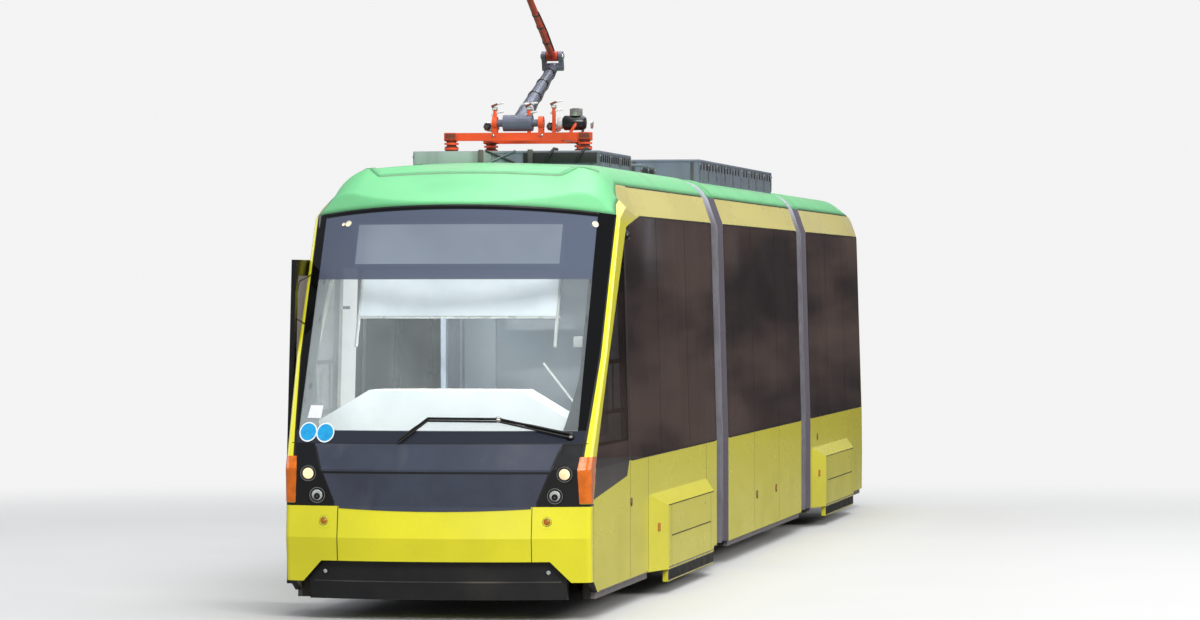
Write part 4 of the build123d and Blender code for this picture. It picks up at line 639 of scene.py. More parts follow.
class Shape:
    """Gathers parts of one piece, each with its own material."""

    def __init__(self):
        self.mesh = bmesh.new()
        self.materials = []

    def slot(self, material):
        if material not in self.materials:
            self.materials.append(material)
        return self.materials.index(material)

    def take(self, before, material):
        """Gives a material to the faces that came after a count."""
        index = self.slot(material)
        for face in list(self.mesh.faces)[before:]:
            face.material_index = index

    def block(self, low, high, material, bevel=0.004, steps=2, spin=None):
        """A block with rounded edges between two corners in any order, turned by spin about its centre."""
        before = len(self.mesh.faces)
        low, high = (Vector(pick(pair) for pair in zip(low, high)) for pick in (min, max))
        place = Matrix.Translation((low + high) / 2)
        if spin is not None:
            place = place @ spin
        made = bmesh.ops.create_cube(self.mesh, size=1.0, matrix=place @ Matrix.Diagonal((*(high - low), 1)))
        edges = list(dict.fromkeys(e for v in made["verts"] for e in v.link_edges))
        bmesh.ops.bevel(self.mesh, geom=edges, offset=bevel, segments=steps, affect="EDGES", profile=0.6)
        self.take(before, material)

    def around(self, centre, half, material, bevel=0.004, steps=2, spin=None):
        """A block by its centre and half sizes."""
        centre, half = Vector(centre), Vector(half)
        self.block(centre - half, centre + half, material, bevel, steps, spin)

    def rings(self, loops, material, closed_ends=True):
        """Skins a row of loops of points."""
        before = len(self.mesh.faces)
        rows = [[self.mesh.verts.new(point) for point in loop] for loop in loops]
        count = len(rows[0])
        for low, high in zip(rows, rows[1:]):
            for i in range(count):
                j = (i + 1) % count
                self.mesh.faces.new((low[i], low[j], high[j], high[i]))
        if closed_ends:
            self.mesh.faces.new(tuple(reversed(rows[0])))
            self.mesh.faces.new(tuple(rows[-1]))
        self.take(before, material)

    def tube(self, path, radius, material, sides=12, flat=1.0):
        """A round bar along a path; radius may be one number or one for each point."""
        points = [Vector(p) for p in path]
        radii = radius if isinstance(radius, (list, tuple)) else [radius] * len(points)
        loops = []
        axis = None
        for index, point in enumerate(points):
            ahead = points[min(index + 1, len(points) - 1)] - points[max(index - 1, 0)]
            ahead.normalize()
            if axis is None:
                axis = ahead.orthogonal().normalized()
            axis = (axis - ahead * axis.dot(ahead)).normalized()
            other = ahead.cross(axis)
            loops.append([point + radii[index] * (axis * c + other * (s * flat)) for c, s in circle(sides)])
        self.rings(loops, material)

    def lathe(self, profile, centre, axis, material, sides=32, closed=False):
        """Turns (radius, along) points about an axis."""
        axis = Vector(axis).normalized()
        across = axis.orthogonal().normalized()
        other = axis.cross(across)
        loops = []
        for radius, along in profile:
            middle = Vector(centre) + axis * along
            loops.append([middle + max(radius, THIN) * (across * c + other * s) for c, s in circle(sides)])
        self.rings(loops + loops[:1] if closed else loops, material, closed_ends=not closed)

    def strip(self, path, width, height, material, sink=0.004):
        """A raised strip along (point, normal) pairs that lie on a surface."""
        section = ((-0.5, -sink), (-0.42, height), (0.0, height * 1.12), (0.42, height), (0.5, -sink))
        loops = []
        points = [Vector(p) for p, _ in path]
        for index, (point, normal) in enumerate(path):
            ahead = points[min(index + 1, len(points) - 1)] - points[max(index - 1, 0)]
            normal = Vector(normal).normalized()
            side = normal.cross(ahead).normalized()
            loops.append([point + side * (width * across) + normal * lift for across, lift in section])
        self.rings(loops, material)

    def sheet(self, grid, thickness, material):
        """A thin shell over a grid of (point, normal) pairs."""
        before = len(self.mesh.faces)
        tops, feet = (
            [[self.mesh.verts.new(p + n.normalized() * lift) for p, n in row] for row in grid]
            for lift in (thickness, -SUNK)
        )
        rows, columns = len(grid), len(grid[0])
        for i in range(rows - 1):
            for j in range(columns - 1):
                self.mesh.faces.new((tops[i][j], tops[i + 1][j], tops[i + 1][j + 1], tops[i][j + 1]))
                self.mesh.faces.new((feet[i][j], feet[i][j + 1], feet[i + 1][j + 1], feet[i + 1][j]))
        for i in range(rows - 1):
            for j in (0, columns - 1):
                self.mesh.faces.new((tops[i][j], feet[i][j], feet[i + 1][j], tops[i + 1][j]))
        for j in range(columns - 1):
            for i in (0, rows - 1):
                self.mesh.faces.new((tops[i][j], tops[i][j + 1], feet[i][j + 1], feet[i][j]))
        self.take(before, material)

    def object(self, name, smooth=40.0):
        bmesh.ops.recalc_face_normals(self.mesh, faces=self.mesh.faces)
        data = bpy.data.meshes.new(name)
        self.mesh.to_mesh(data)
        self.mesh.free()
        for material in self.materials:
            data.materials.append(material)
        for polygon in data.polygons:
            polygon.use_smooth = True
        data.set_sharp_from_angle(angle=math.radians(smooth))
        return placed(name, data)

    def ride(self, name, body, smooth=40.0):
        made = self.object(name, smooth)
        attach(made, body)
        return made


def surface_of(*names):
    """The faces of CAD nodes, for laying trim on them."""
    points, faces = [], []
    for name in names:
        mesh = nodes[name].data
        base = len(points)
        points += [vertex.co.copy() for vertex in mesh.vertices]
        faces += [tuple(base + i for i in polygon.vertices) for polygon in mesh.polygons]
    return BVHTree.FromPolygons(points, faces)


front_skin = surface_of("windscreen", "fascia", "bumper", "front_arches", "front_roof")
front_sides = surface_of("front_side_left", "front_side_right", "front_arches", "front_side_glass",
                         "front_roof", "windscreen", "fascia", "bumper")
middle_sides = surface_of("middle_side_left", "middle_side_right", "middle_glass", "middle_doors",
                          "middle_roof")
rear_sides = surface_of("rear_side_left", "rear_side_right", "rear_glass", "rear_door", "rear_end",
                        "rear_roof")
rear_skin = surface_of("rear_end", "rear_glass", "rear_roof")
lamp_faces = surface_of("front_lamps")
apron_faces = surface_of("apron")
tail_faces = surface_of("tail_lamps")
stripe_skin = surface_of("front_arches")
open_leaf = surface_of("front_door")
front_covers = surface_of("front_bogie_covers")
rear_covers = surface_of("rear_bogie_covers")

# Rays start well outside the vehicle, and step aside when they fall into a joint
FAR_X = 11.0
FAR_Y = 3.0
RAY_REACH = 30.0
SHIFTS = [Vector(shift) for shift in (
    (0, 0, 0), (0, 0, 0.009), (0, 0, -0.009), (0, 0.009, 0), (0, -0.009, 0), (0.009, 0, 0), (-0.009, 0, 0),
    (0, 0, 0.02), (0, 0, -0.02),
)]


def cast(tree, origin, direction):
    """Where a ray meets a surface, and the normal there."""
    origin, direction = Vector(origin), Vector(direction)
    for shift in SHIFTS:
        point, normal, _, _ = tree.ray_cast(origin + shift, direction, RAY_REACH)
        if point is not None:
            break
    if point is None:
        raise RuntimeError(f"nothing lies at {origin}")
    if normal.dot(direction) > 0:
        normal = -normal
    return point - shift, normal


def from_front(tree, y, z):
    return cast(tree, (FAR_X, y, z), (-1, 0, 0))


def from_rear(tree, y, z):
    return cast(tree, (-FAR_X, y, z), (1, 0, 0))


def on_front(y, z):
    return from_front(front_skin, y, z)


def on_rear(y, z):
    return from_rear(rear_skin, y, z)


def on_side(tree, x, z, side):
    return cast(tree, (x, side * FAR_Y, z), (0, -side, 0))


def seam_x(z):
    """Where the yellow stripe's front edge stands at a height."""
    low, high = (SEAM_FOOT, SEAM_LOW) if z < SEAM_LOW[1] else (SEAM_LOW, SEAM_HIGH)
    return lean(*low, *high, z)


def rib_x(z):
    """Where the rear flank of the yellow rib stands at a height."""
    low, high = (RIB_WAIST, RIB_KNEE) if z < RIB_KNEE[1] else (RIB_KNEE, RIB_TOP)
    return lean(*low, *high, z)


def corner_x(z):
    """Where the nose's corner stands at a height."""
    return lean(9.520, 0.85, 9.543, WAIST_Z, z) if z < WAIST_Z else lean(9.543, WAIST_Z, 8.328, 3.02, z)


def side_line(shape, tree, x, low, high, side, width=0.006, height=0.0007, material=joint_black):
    """An upright strip on a side."""
    shape.strip([on_side(tree, x, z, side) for z in spread(low, high, 23)], width, height, material)


def level_line(shape, tree, z, low, high, side, width=0.008, height=0.001, material=rubber, count=30):
    """A level strip on a side."""
    shape.strip([on_side(tree, x, z, side) for x in spread(low, high, count - 1)], width, height, material)


def lamp(shape, point, normal, radius, face, bezel=black_plastic, dome=0.35):
    """A round lamp: bezel ring and domed lens."""
    ring = ((1.28, -0.012), (1.30, 0.002), (1.22, 0.007), (1.05, 0.006), (0.98, 0.0), (0.98, -0.012))
    shape.lathe([(radius * share, along) for share, along in ring], point, normal, bezel, closed=True)
    profile = [(radius, -0.01)]
    for angle in spread(0, math.pi / 2, 6):
        profile.append((radius * math.cos(angle), 0.001 + radius * dome * math.sin(angle) * 0.5))
    shape.lathe(profile, point, normal, face)


def marker(shape, tree, x, z, side, radius):
    point, normal = on_side(tree, x, z, side)
    lamp(shape, point, normal, radius, amber_lens, dome=0.6)


# Front: seals and grooves
screen_seal = Shape()
for side in SIDES:
    path = [on_side(front_sides, seam_x(z) - 0.002, z, side) for z in spread(0.9, 3.0, 39)]
    screen_seal.strip(path, 0.010, 0.0015, rubber)
top_path = []
for y in spread(-1.04, 1.04, 48):
    z = 3.0
    for _ in range(6):
        z = lean(3.02, 8.32, 3.10, 8.75, on_front(y, z)[0].x) - 0.012
    top_path.append(on_front(y, z))
screen_seal.strip(top_path, 0.018, 0.003, rubber)
screen_seal.strip([on_front(y, SCREEN_FOOT_Z + 0.002) for y in spread(-1.12, 1.12, 40)], 0.007, 0.001, rubber)
screen_seal.ride("screen_seal", "front_section")

grooves = Shape()
corner_line = line(FASCIA_TOP, FASCIA_KNEE, 7)[1:] + line(FASCIA_KNEE, FASCIA_FOOT, 14)[1:-1]
for side in SIDES:
    grooves.strip([on_front(side * y, z) for y, z in corner_line], 0.018, 0.0015, rubber)
    joint = [on_side(front_sides, 9.395, z, side) for z in spread(0.30, 0.865, 12)]
    grooves.strip(joint, 0.007, 0.0008, joint_black)
grooves.strip([on_front(y, 1.1) for y in spread(-0.85, 0.85, 30)], 0.018, 0.0015, rubber)
for side in SIDES:
    grooves.strip([on_front(side * 0.73, z) for z in spread(0.45, 0.845, 14)], 0.006, 0.001, joint_black)
grooves.ride("front_grooves", "front_section")

# The fascia's foot bows down over the bumper
LIP_HALF = 0.722
fascia_lip = Shape()
grid = []
for i in range(5):
    row = []
    for y in spread(-LIP_HALF, LIP_HALF, 40):
        foot = 0.836 - 0.022 * (1 - (y / 0.73) ** 2)
        row.append(on_front(y, lean(0.858, 0, foot, 4, i)))
    grid.append(row)
fascia_lip.sheet(grid, 0.004, fascia_dark)
fascia_lip.ride("fascia_lip", "front_section")

# Front: lamps
PROUD = Vector((0.001, 0, 0))
HEADLAMP_RADIUS = 0.041
headlamps = Shape()
for side in SIDES:
    for y, z, face in ((0.965, 1.09, warm_lamp), (0.895, 0.93, clear_lens)):
        point = from_front(lamp_faces, side * y, z)[0] + PROUD
        lamp(headlamps, point, (1, 0, 0), HEADLAMP_RADIUS, face, dome=0.4)
        headlamps.lathe([(0.052, -0.01), (0.064, 0.006), (0.066, 0.002), (0.066, -0.03), (0.052, -0.03)],
                        point, (1, 0, 0), rubber, closed=True)
        if face is clear_lens:
            headlamps.lathe([(0.004, 0.008), (0.006, 0.016), (0.022, 0.014), (0.024, 0.008)],
                            point - Vector((0, 0, 0.008)), (1, 0, 0), black_frame, closed=True)
headlamps.ride("headlamp_lenses", "front_section")

turn_lamps = Shape()
for side in SIDES:
    centre = from_front(lamp_faces, side * 0.84, 0.74)[0] + PROUD
    lamp(turn_lamps, centre, (1, 0, 0), 0.024, amber_lens, bezel=yellow_front, dome=0.8)
    ring = []
    for c, s in circle(24):
        y = side * 0.84 + 0.052 * math.copysign(abs(c) ** 0.55, c)
        z = 0.738 + 0.047 * math.copysign(abs(s) ** 0.55, s)
        ring.append(on_front(y, z))
    turn_lamps.strip(ring + ring[:1], 0.008, 0.0012, yellow_front)
turn_lamps.ride("turn_lamps", "front_section")

apron_lamps = Shape()
for side in SIDES:
    point, normal = from_front(apron_faces, side * 0.84, 0.365)
    lamp(apron_lamps, point, normal, 0.017, clear_lens, bezel=black_frame)
lip = [from_front(apron_faces, y, 0.293) for y in spread(-0.93, 0.93, 24)]
apron_lamps.strip(lip, 0.012, 0.004, frame_grey)
apron_lamps.ride("apron_lamps", "front_section")

screen_lamps = Shape()
for y, z, radius in ((-0.868, 2.953, 0.021), (-0.91, 2.948, 0.012), (1.02, 2.945, 0.021)):
    point, normal = on_front(y, z)
    lamp(screen_lamps, point, normal, radius, warm_lamp, bezel=white_metal, dome=0.4)
screen_lamps.ride("screen_top_lamps", "front_section")


STRIPE_STEP = 0.002
STRIPE_STEPS = 90


def stripe_edge(z, side):
    """The innermost place of the yellow stripe on the front at a height."""
    edge = None
    inward = Vector((-1, 0, 0))
    for step in range(STRIPE_STEPS):
        origin = Vector((FAR_X, side * (BODY_HALF - STRIPE_STEP * step), z))
        whole, stripe = (skin.ray_cast(origin, inward, 4.0)[0] for skin in (front_skin, stripe_skin))
        if whole is None or stripe is None:
            continue
        if whole.x > stripe.x + 0.002:
            break
        edge = stripe
    return edge


# Orange lenses wrap the corners, with rows close on both sides of the crease at the waist
LENS_FOOT_X, LENS_FOOT_Z = 9.430, 0.87
LENS_HEAD_Z = 1.22
corner_lenses = Shape()
for side in SIDES:
    grid = []
    for z in spread(0.874, 1.122, 10) + spread(1.124, 1.215, 4):
        middle = Vector((corner_x(z) - 0.12, side * 0.98, z))
        back_x = lean(LENS_FOOT_X, LENS_FOOT_Z, rib_x(LENS_HEAD_Z) - 0.012, LENS_HEAD_Z, z) + 0.004
        back = on_side(front_sides, back_x, z, side)[0] - middle
        fore = stripe_edge(z, side) - middle
        start, stop = (math.atan2(abs(edge.y), edge.x) for edge in (back, fore))
        row = []
        for angle in spread(start, stop, 16):
            outward = Vector((math.cos(angle), side * math.sin(angle), 0))
            row.append(cast(front_sides, middle + outward * 1.2, -outward))
        grid.append(row)
    corner_lenses.sheet(grid, 0.003, orange_lens)
corner_lenses.ride("corner_lenses", "front_section")

# Stickers low on the windscreen: two discs and a plain white one
DISC_RADIUS = 0.072
DISC_SHARES = (0.0, 0.3, 0.6, 0.84, 0.9, 1.0)
DISC_SIDES = 36
discs = Shape()
ring_layer = discs.mesh.verts.layers.float.new("ring")
index = discs.slot(blue_disc)
for centre_y, centre_z in ((-1.000, 1.392), (-0.862, 1.388)):
    loops = []
    for share in DISC_SHARES:
        loop = []
        radius = DISC_RADIUS * max(share, 0.01)
        for c, s in circle(DISC_SIDES):
            point, normal = on_front(centre_y + radius * c, centre_z + radius * s)
            vertex = discs.mesh.verts.new(point + normal * 0.0012)
            vertex[ring_layer] = share
            loop.append(vertex)
        loops.append(loop)
    rim = []
    for vertex in loops[-1]:
        low = discs.mesh.verts.new(vertex.co - Vector((0.003, 0, 0)))
        low[ring_layer] = 1.0
        rim.append(low)
    for inner, outer in zip(loops, loops[1:] + [rim]):
        for t in range(DISC_SIDES):
            after = (t + 1) % DISC_SIDES
            discs.mesh.faces.new((inner[t], outer[t], outer[after], inner[after])).material_index = index
    discs.mesh.faces.new(loops[0]).material_index = index
sticker_edges = (((-1.02, 1.495), (-1.005, 1.588)), ((-0.912, 1.495), (-0.905, 1.588)))
grid = [[on_front(*place) for place in line(low, high, 4)] for low, high in sticker_edges]
discs.sheet(grid, 0.0008, white_sticker)
discs.ride("screen_stickers", "front_section")

# Wiper links and blade
wiper_parts = Shape()


def off_glass(y, z, gap):
    """A place in front of the nose, a gap away from it."""
    point, normal = on_front(y, z)
    return point + normal * gap


spine = [
    off_glass(y, z, 0.034)
    for y, z in line((0.985, 1.365), (0.470, 1.478), 10) + line((0.44, 1.480), (-0.07, 1.484), 10)
]
tail = [off_glass(y, z, 0.028) for y, z in line((-0.07, 1.484), (-0.275, 1.322), 8)]
wiper_parts.tube(spine, [0.016] * 6 + [0.012] * 14, black_frame, sides=8, flat=0.6)
wiper_parts.tube(tail, [0.010] * 3 + [0.014] * 5, rubber, sides=8, flat=0.6)
wiper_parts.lathe([(0.03, -0.02), (0.032, 0.012), (0.024, 0.03), (0.012, 0.034)], off_glass(0.985, 1.36, 0.0),
                  on_front(0.985, 1.36)[1], black_frame, sides=24)
wiper_parts.lathe([(0.022, -0.012), (0.024, 0.004), (0.014, 0.014)], off_glass(0.455, 1.479, 0.03),
                  on_front(0.455, 1.479)[1], steel, sides=20)
wiper_parts.ride("wiper_links", "front_section")

# Roof dome lip, swept back towards its ends
dome = Shape()
LIP_X = 8.20
LIP_STRAIGHT = 0.70
lip = []
for y in spread(-0.93, 0.93, 40):
    x = LIP_X - max(abs(y) - LIP_STRAIGHT, 0.0) * 1.6
    lip.append(cast(front_skin, (x, y, 5.5), (0, 0, -1)))
dome.strip(lip, 0.05, 0.006, green_roof, sink=0.01)
dome.ride("dome_lip", "front_section")

# Cab interior
COWL_HALF = 0.955
cowl = Shape()
cowl_profile = [(-COWL_HALF, 1.0)]
for y in spread(-COWL_HALF, COWL_HALF, 32):
    cowl_profile.append((y, 1.40 + 0.30 * max(1 - (abs(y) / COWL_HALF) ** 2.9, 0.0) ** 0.72))
cowl_profile.append((COWL_HALF, 1.0))
cowl_stations = (
    (8.755, 0.02), (8.775, 0.004), (8.85, 0.0), (8.95, 0.0), (9.05, 0.006), (9.12, 0.02), (9.17, 0.05),
)
cowl.rings([
    [Vector((x, y * (1 - shrink * 0.3), max(z - shrink * 1.2, 0.99))) for y, z in cowl_profile]
    for x, shrink in cowl_stations
], dash_plastic)
for y in (-0.3, 0.3):
    cowl.block((8.752, y - 0.16, 1.50), (8.775, y + 0.16, 1.66), black_plastic, 0.008)
cowl.block((8.80, -0.45, 1.694), (8.93, 0.45, 1.704), lining_plastic)
cowl.ride("cab_cowl", "front_section")

CONSOLE_TILT = Matrix.Rotation(-0.3, 4, "Y")
controls = Shape()
controls.block((8.50, -0.42, 1.06), (8.76, 0.62, 1.12), black_plastic, 0.012, 3)
controls.block((8.62, -0.36, 1.12), (8.76, 0.56, 1.30), black_plastic, 0.02, 3, CONSOLE_TILT)
for y in (-0.22, 0.10, 0.42):
    controls.block((8.585, y - 0.11, 1.15), (8.60, y + 0.11, 1.29), black_frame, 0.006, spin=CONSOLE_TILT)
controls.tube([(8.56, -0.30, 1.11), (8.54, -0.30, 1.20), (8.52, -0.30, 1.24)], [0.012, 0.010, 0.022], steel)
controls.tube([(8.95, 0.70, 1.90), (9.02, 0.98, 1.56)], 0.008, white_metal)
controls.block((8.90, 0.93, 2.02), (8.97, 1.0, 2.10), white_metal, 0.01)
controls.ride("cab_controls", "front_section")

sign_parts = Shape()
sign_parts.block((8.522, -0.845, 2.625), (8.534, 0.80, 2.965), led_panel, 0.003)
for z in (2.620, 2.970):
    sign_parts.block((8.520, -0.85, z - 0.006), (8.540, 0.805, z + 0.006), steel, 0.003)
for y in (-0.85, 0.805):
    sign_parts.block((8.520, y - 0.006, 2.62), (8.540, y + 0.006, 2.97), steel, 0.003)
sign_parts.ride("sign_board", "front_section")

# Milky panes in the windows of the cab partition
panes = Shape()
panes.block((7.096, -0.01, 1.29), (7.102, 0.91, 2.61), milky_glass, 0.001)
panes.block((7.21, -0.273, 1.29), (7.83, -0.267, 2.61), milky_glass, 0.001)
panes.ride("partition_panes", "front_section")

# Sun blind, drawn down beside the windscreen from the sign's foot to its bar
BLIND_SLOPE = (9.69 - 8.75) / (3.10 - 1.123)
BLIND_HALF = 0.768
BLIND_STEPS = 24
blind = Shape()


def blind_x(z):
    """Where the blind hangs at a height."""
    return 8.52 + (2.64 - z) * BLIND_SLOPE


grid = []
for i, z in enumerate(spread(2.56, 2.245, BLIND_STEPS)):
    row = []
    for j, y in enumerate(spread(-BLIND_HALF, BLIND_HALF, 40)):
        sag = 0.0015 * math.sin(j * 0.9) * (i / BLIND_STEPS)
        row.append((Vector((blind_x(z) + 0.006 + sag, y, z)), Vector((0.9, 0, 0.43))))
    grid.append(row)
blind.sheet(grid, 0.0006, blind_cloth)
blind_piece = blind.ride("sun_blind", "front_section")
blind_bar = Shape()
blind_bar.tube([(blind_x(2.243), y, 2.243) for y in (-0.785, 0, 0.785)], 0.011, white_metal)
for y in (-0.765, 0.765):
    blind_bar.tube([(blind_x(z), y, z) for z in (2.60, 2.30, 2.02)], 0.013, white_metal)
blind_bar.ride("blind_bar", "front_section")

# Cab side windows: bars behind the glass
bars = Shape()
for side, start in ((1, 7.70), (-1, 8.02)):
    for z, end in ((1.52, 8.94), (1.90, 8.72)):
        y = side * (BODY_HALF - (z - WAIST_Z) * SIDE_SLOPE - 0.03)
        bars.block((start, y, z - 0.016), (end, y - side * 0.02, z + 0.016), black_frame)
    bars.block((8.18, side * 1.10, 1.53), (8.21, side * 1.112, 1.89), black_frame)
bars.ride("cab_window_bars", "front_section")

# Side cameras
camera_trim = Shape()
for side in SIDES:
    centre = Vector((7.74, side * 1.135, 2.87))
    camera_trim.lathe([(0.012, 0.032), (0.02, 0.036), (0.026, 0.030), (0.030, 0.02)], centre,
                      (0.35, side, -0.25), black_frame, sides=20)
    camera_trim.lathe([(0.036, -0.012), (0.044, -0.004), (0.036, 0.004)],
                      centre - Vector((0, side * 0.03, 0)), (0, side, 0), rubber, sides=24)
camera_trim.ride("camera_trim", "front_section")

# Side trim: panel joints, sills and marker lamps
BAND_LINE_Z = BAND_TOP_Z - 0.004
JOINT_FOOT_Z, JOINT_HEAD_Z = 0.22, 1.115
SILL_Z = 0.205


def body_lines(shape, tree, side, waist, glass, band):
    """Seals at the waist and over the glass, and the roof band's joint, each between two places."""
    level_line(shape, tree, WAIST_Z, *waist, side)
    level_line(shape, tree, GLASS_TOP_Z, *glass, side, 0.012, 0.002)
    level_line(shape, tree, BAND_LINE_Z, *band, side, 0.010, 0.0015, joint_black)


def sill_line(side, low, high, count):
    """The grey sill between two places on the front section."""
    level_line(front_trim, front_sides, SILL_Z, low, high, side, 0.008, 0.002, sill_grey, count)


front_trim = Shape()
for side in SIDES:
    body_lines(front_trim, front_sides, side, (2.70, 7.0 if side < 0 else 7.55), (2.70, 6.79), (2.66, 7.0))
    heel = [on_side(front_sides, x, z, side) for x, z in line((6.79, 3.028), (7.36, 2.948), 14)]
    front_trim.strip(heel, 0.012, 0.002, rubber)
for x, side in ((3.30, 1), (6.66, 1), (7.60, 1), (3.30, -1), (6.66, -1)):
    side_line(front_trim, front_sides, x, JOINT_FOOT_Z, JOINT_HEAD_Z, side)
for side in SIDES:
    sill_line(side, 2.66, 3.28, 8)
    sill_line(side, 6.70, 7.08 if side < 0 else 9.15, 12)
marker(front_trim, front_sides, 7.56, 0.80, 1, 0.026)
marker(front_trim, front_sides, 6.82, 0.80, -1, 0.026)
front_trim.ride("front_side_trim", "front_section")

middle_trim = Shape()
for side, span in ((-1, (-2.03, 0.20)), (1, (-3.62, 1.80))):
    body_lines(middle_trim, middle_sides, side, span, span, (-3.68, 1.85))
for x in (-1.85, 0.02):
    side_line(middle_trim, middle_sides, x, JOINT_FOOT_Z, JOINT_HEAD_Z, 1)
for x, side in ((-0.15, 1), (-1.60, 1), (-0.95, -1)):
    marker(middle_trim, middle_sides, x, 0.53, side, 0.03)
middle_trim.ride("middle_side_trim", "middle_section")

rear_trim = Shape()
for side, span in ((-1, (-8.01, -4.55)), (1, (-9.40, -4.55))):
    body_lines(rear_trim, rear_sides, side, span, span, (-9.3, -4.50))
    side_line(rear_trim, rear_sides, -9.42, JOINT_FOOT_Z, 3.2, side)
    marker(rear_trim, rear_sides, -5.08, 0.918, side, 0.026)
rear_trim.ride("rear_side_trim", "rear_section")

# Bogie covers: joints, crease, screws, lamps on their front flanges, and skirts
FRONT_BOGIE_X = 4.95
REAR_BOGIE_X = -6.3
COVER_BACK, COVER_FORE = 1.385, 1.275


def cover_trim(name, tree, centre_x, body):
    """Joints, crease, screws and front lamps of the covers over a bogie."""
    shape = Shape()
    span = (centre_x - COVER_BACK, centre_x + COVER_FORE)
    for side in SIDES:
        level_line(shape, tree, 0.716, *span, side, 0.010, 0.0004, joint_black)
        level_line(shape, tree, 0.465, centre_x - 1.20, centre_x + 1.10, side, 0.012, 0.0004, joint_black)
        level_line(shape, tree, 0.215, *span, side, 0.012, 0.0004, sill_grey)
        for x in (centre_x - 1.21, centre_x + 1.11):
            side_line(shape, tree, x, 0.21, 0.714, side, 0.008, 0.0004)
        for x in (centre_x - 0.85, centre_x + 0.75):
            shape.lathe([(0.012, -0.004), (0.012, 0.0002), (0.006, 0.0005)],
                        on_side(tree, x, 0.64, side)[0], (0, side, 0), steel, sides=16)
    for side in SIDES:
        point, normal = cast(tree, (centre_x + 3.0, side * 1.20, 0.55), (-1, 0, 0))
        turned = Matrix.Rotation(math.atan2(normal.y, normal.x), 4, "Z")
        shape.around(point, (0.008, 0.022, 0.035), amber_lens, 0.006, 3, turned)
    shape.ride(name, body)


cover_trim("front_cover_trim", front_covers, FRONT_BOGIE_X, "front_section")
cover_trim("rear_cover_trim", rear_covers, REAR_BOGIE_X, "rear_section")


def skirt_edges(name, centre_x, body):
    """Grey rubber-edged skirt under each cover."""
    shape = Shape()
    for side in SIDES:
        shape.block((centre_x - COVER_BACK, side * 1.201, 0.108),
                    (centre_x + COVER_FORE, side * 1.246, 0.198), sill_grey, 0.006)
        edge = [(centre_x + along, side * 1.222, 0.106) for along in (-1.38, 0, 1.27)]
        shape.tube(edge, 0.016, rubber, sides=8)
    shape.ride(name, body)


skirt_edges("front_cover_skirts", FRONT_BOGIE_X, "front_section")
skirt_edges("rear_cover_skirts", REAR_BOGIE_X, "rear_section")

# Doors: seals, buttons and handles
front_door_trim = Shape()
for x in (7.094, 7.886):
    side_line(front_door_trim, front_sides, x, 0.30, 2.58, -1, 0.018, 0.003, rubber)
level_line(front_door_trim, front_sides, 2.628, 7.09, 7.89, -1, 0.018, 0.003, rubber, 10)
for x in (8.196, 8.925):
    side_line(front_door_trim, open_leaf, x, 0.25, 2.66, -1, 0.014, 0.0004, rubber)
handle = [(8.27, y, z) for y, z in ((-1.145, 1.05), (-1.16, 1.15), (-1.16, 1.75), (-1.135, 1.85))]
front_door_trim.tube(handle, 0.012, steel)
front_door_trim.lathe([(0.035, -0.006), (0.037, 0.004), (0.028, 0.008), (0.012, 0.008)],
                      on_side(front_sides, 7.03, 1.30, -1)[0], (0, -1, 0), black_frame, sides=24)
front_door_trim.ride("front_door_trim", "front_section")


def door_trim(name, tree, places, width, leaves, body):
    """Seals round each doorway and between its leaves, and a door button."""
    shape = Shape()
    for centre in places:
        low, high = centre - width / 2, centre + width / 2
        for x in [low - 0.004, high + 0.004] + ([centre] if leaves == 2 else []):
            side_line(shape, tree, x, 0.26, 2.94, -1, 0.016, 0.002, rubber)
        level_line(shape, tree, 2.955, low, high, -1, 0.016, 0.002, rubber, 8)
        level_line(shape, tree, 0.255, low, high, -1, 0.012, 0.002, rubber, 8)
        point, normal = on_side(tree, centre + 0.11 if leaves == 2 else high - 0.04, 1.20, -1)
        shape.lathe([(0.03, -0.006), (0.032, 0.006), (0.024, 0.010), (0.010, 0.011)], point, normal,
                    black_frame, sides=24)
        shape.lathe([(0.018, 0.004), (0.017, 0.012), (0.004, 0.013)], point, normal, clear_lens, sides=24)
    shape.ride(name, body)


door_trim("middle_door_trim", middle_sides, (0.96, -2.79), 1.30, 2, "middle_section")
door_trim("rear_door_trim", rear_sides, (-8.45,), 0.76, 1, "rear_section")

# Rear end: window seal, lamps, panel joints and a plate under the window
rear_parts = Shape()
corners = [(-0.94, 1.21), (0.94, 1.21), (0.94, 2.89), (-0.94, 2.89), (-0.94, 1.21)]
outline = corners[:1]
for low, high, count in zip(corners, corners[1:], (20, 16, 20, 16)):
    outline += line(low, high, count)[1:]
rear_parts.strip([on_rear(y, z) for y, z in outline], 0.022, 0.004, rubber)
for side in SIDES:
    for z, face in ((1.0, red_lens), (0.86, amber_lens)):
        lamp(rear_parts, from_rear(tail_faces, side * 0.93, z)[0], (-1, 0, 0), 0.046, face, dome=0.4)
for z in (0.62, 1.12):
    rear_parts.strip([on_rear(y, z) for y in spread(-1.0, 1.0, 24)], 0.008, 0.001, joint_black)
for y in (-0.62, 0.62):
    rear_parts.strip([on_rear(y, z) for z in spread(0.25, 0.615, 8)], 0.008, 0.001, joint_black)
rear_parts.strip([on_rear(y, 1.155) for y in spread(-0.3, 0.3, 10)], 0.035, 0.012, black_plastic)
rear_parts.ride("rear_end_parts", "rear_section")

# Bellows: pleated skins between the sections
BELLOWS_FOOT_Z = 0.205
CROWN_STEPS = 10
FOLD_PITCH = 0.0265
FOLD_INSETS = (0.046, 0.068)
CLOTH_DEPTH = 0.022
HOOP_HALF = 0.068
HOOP_INSET = 0.085


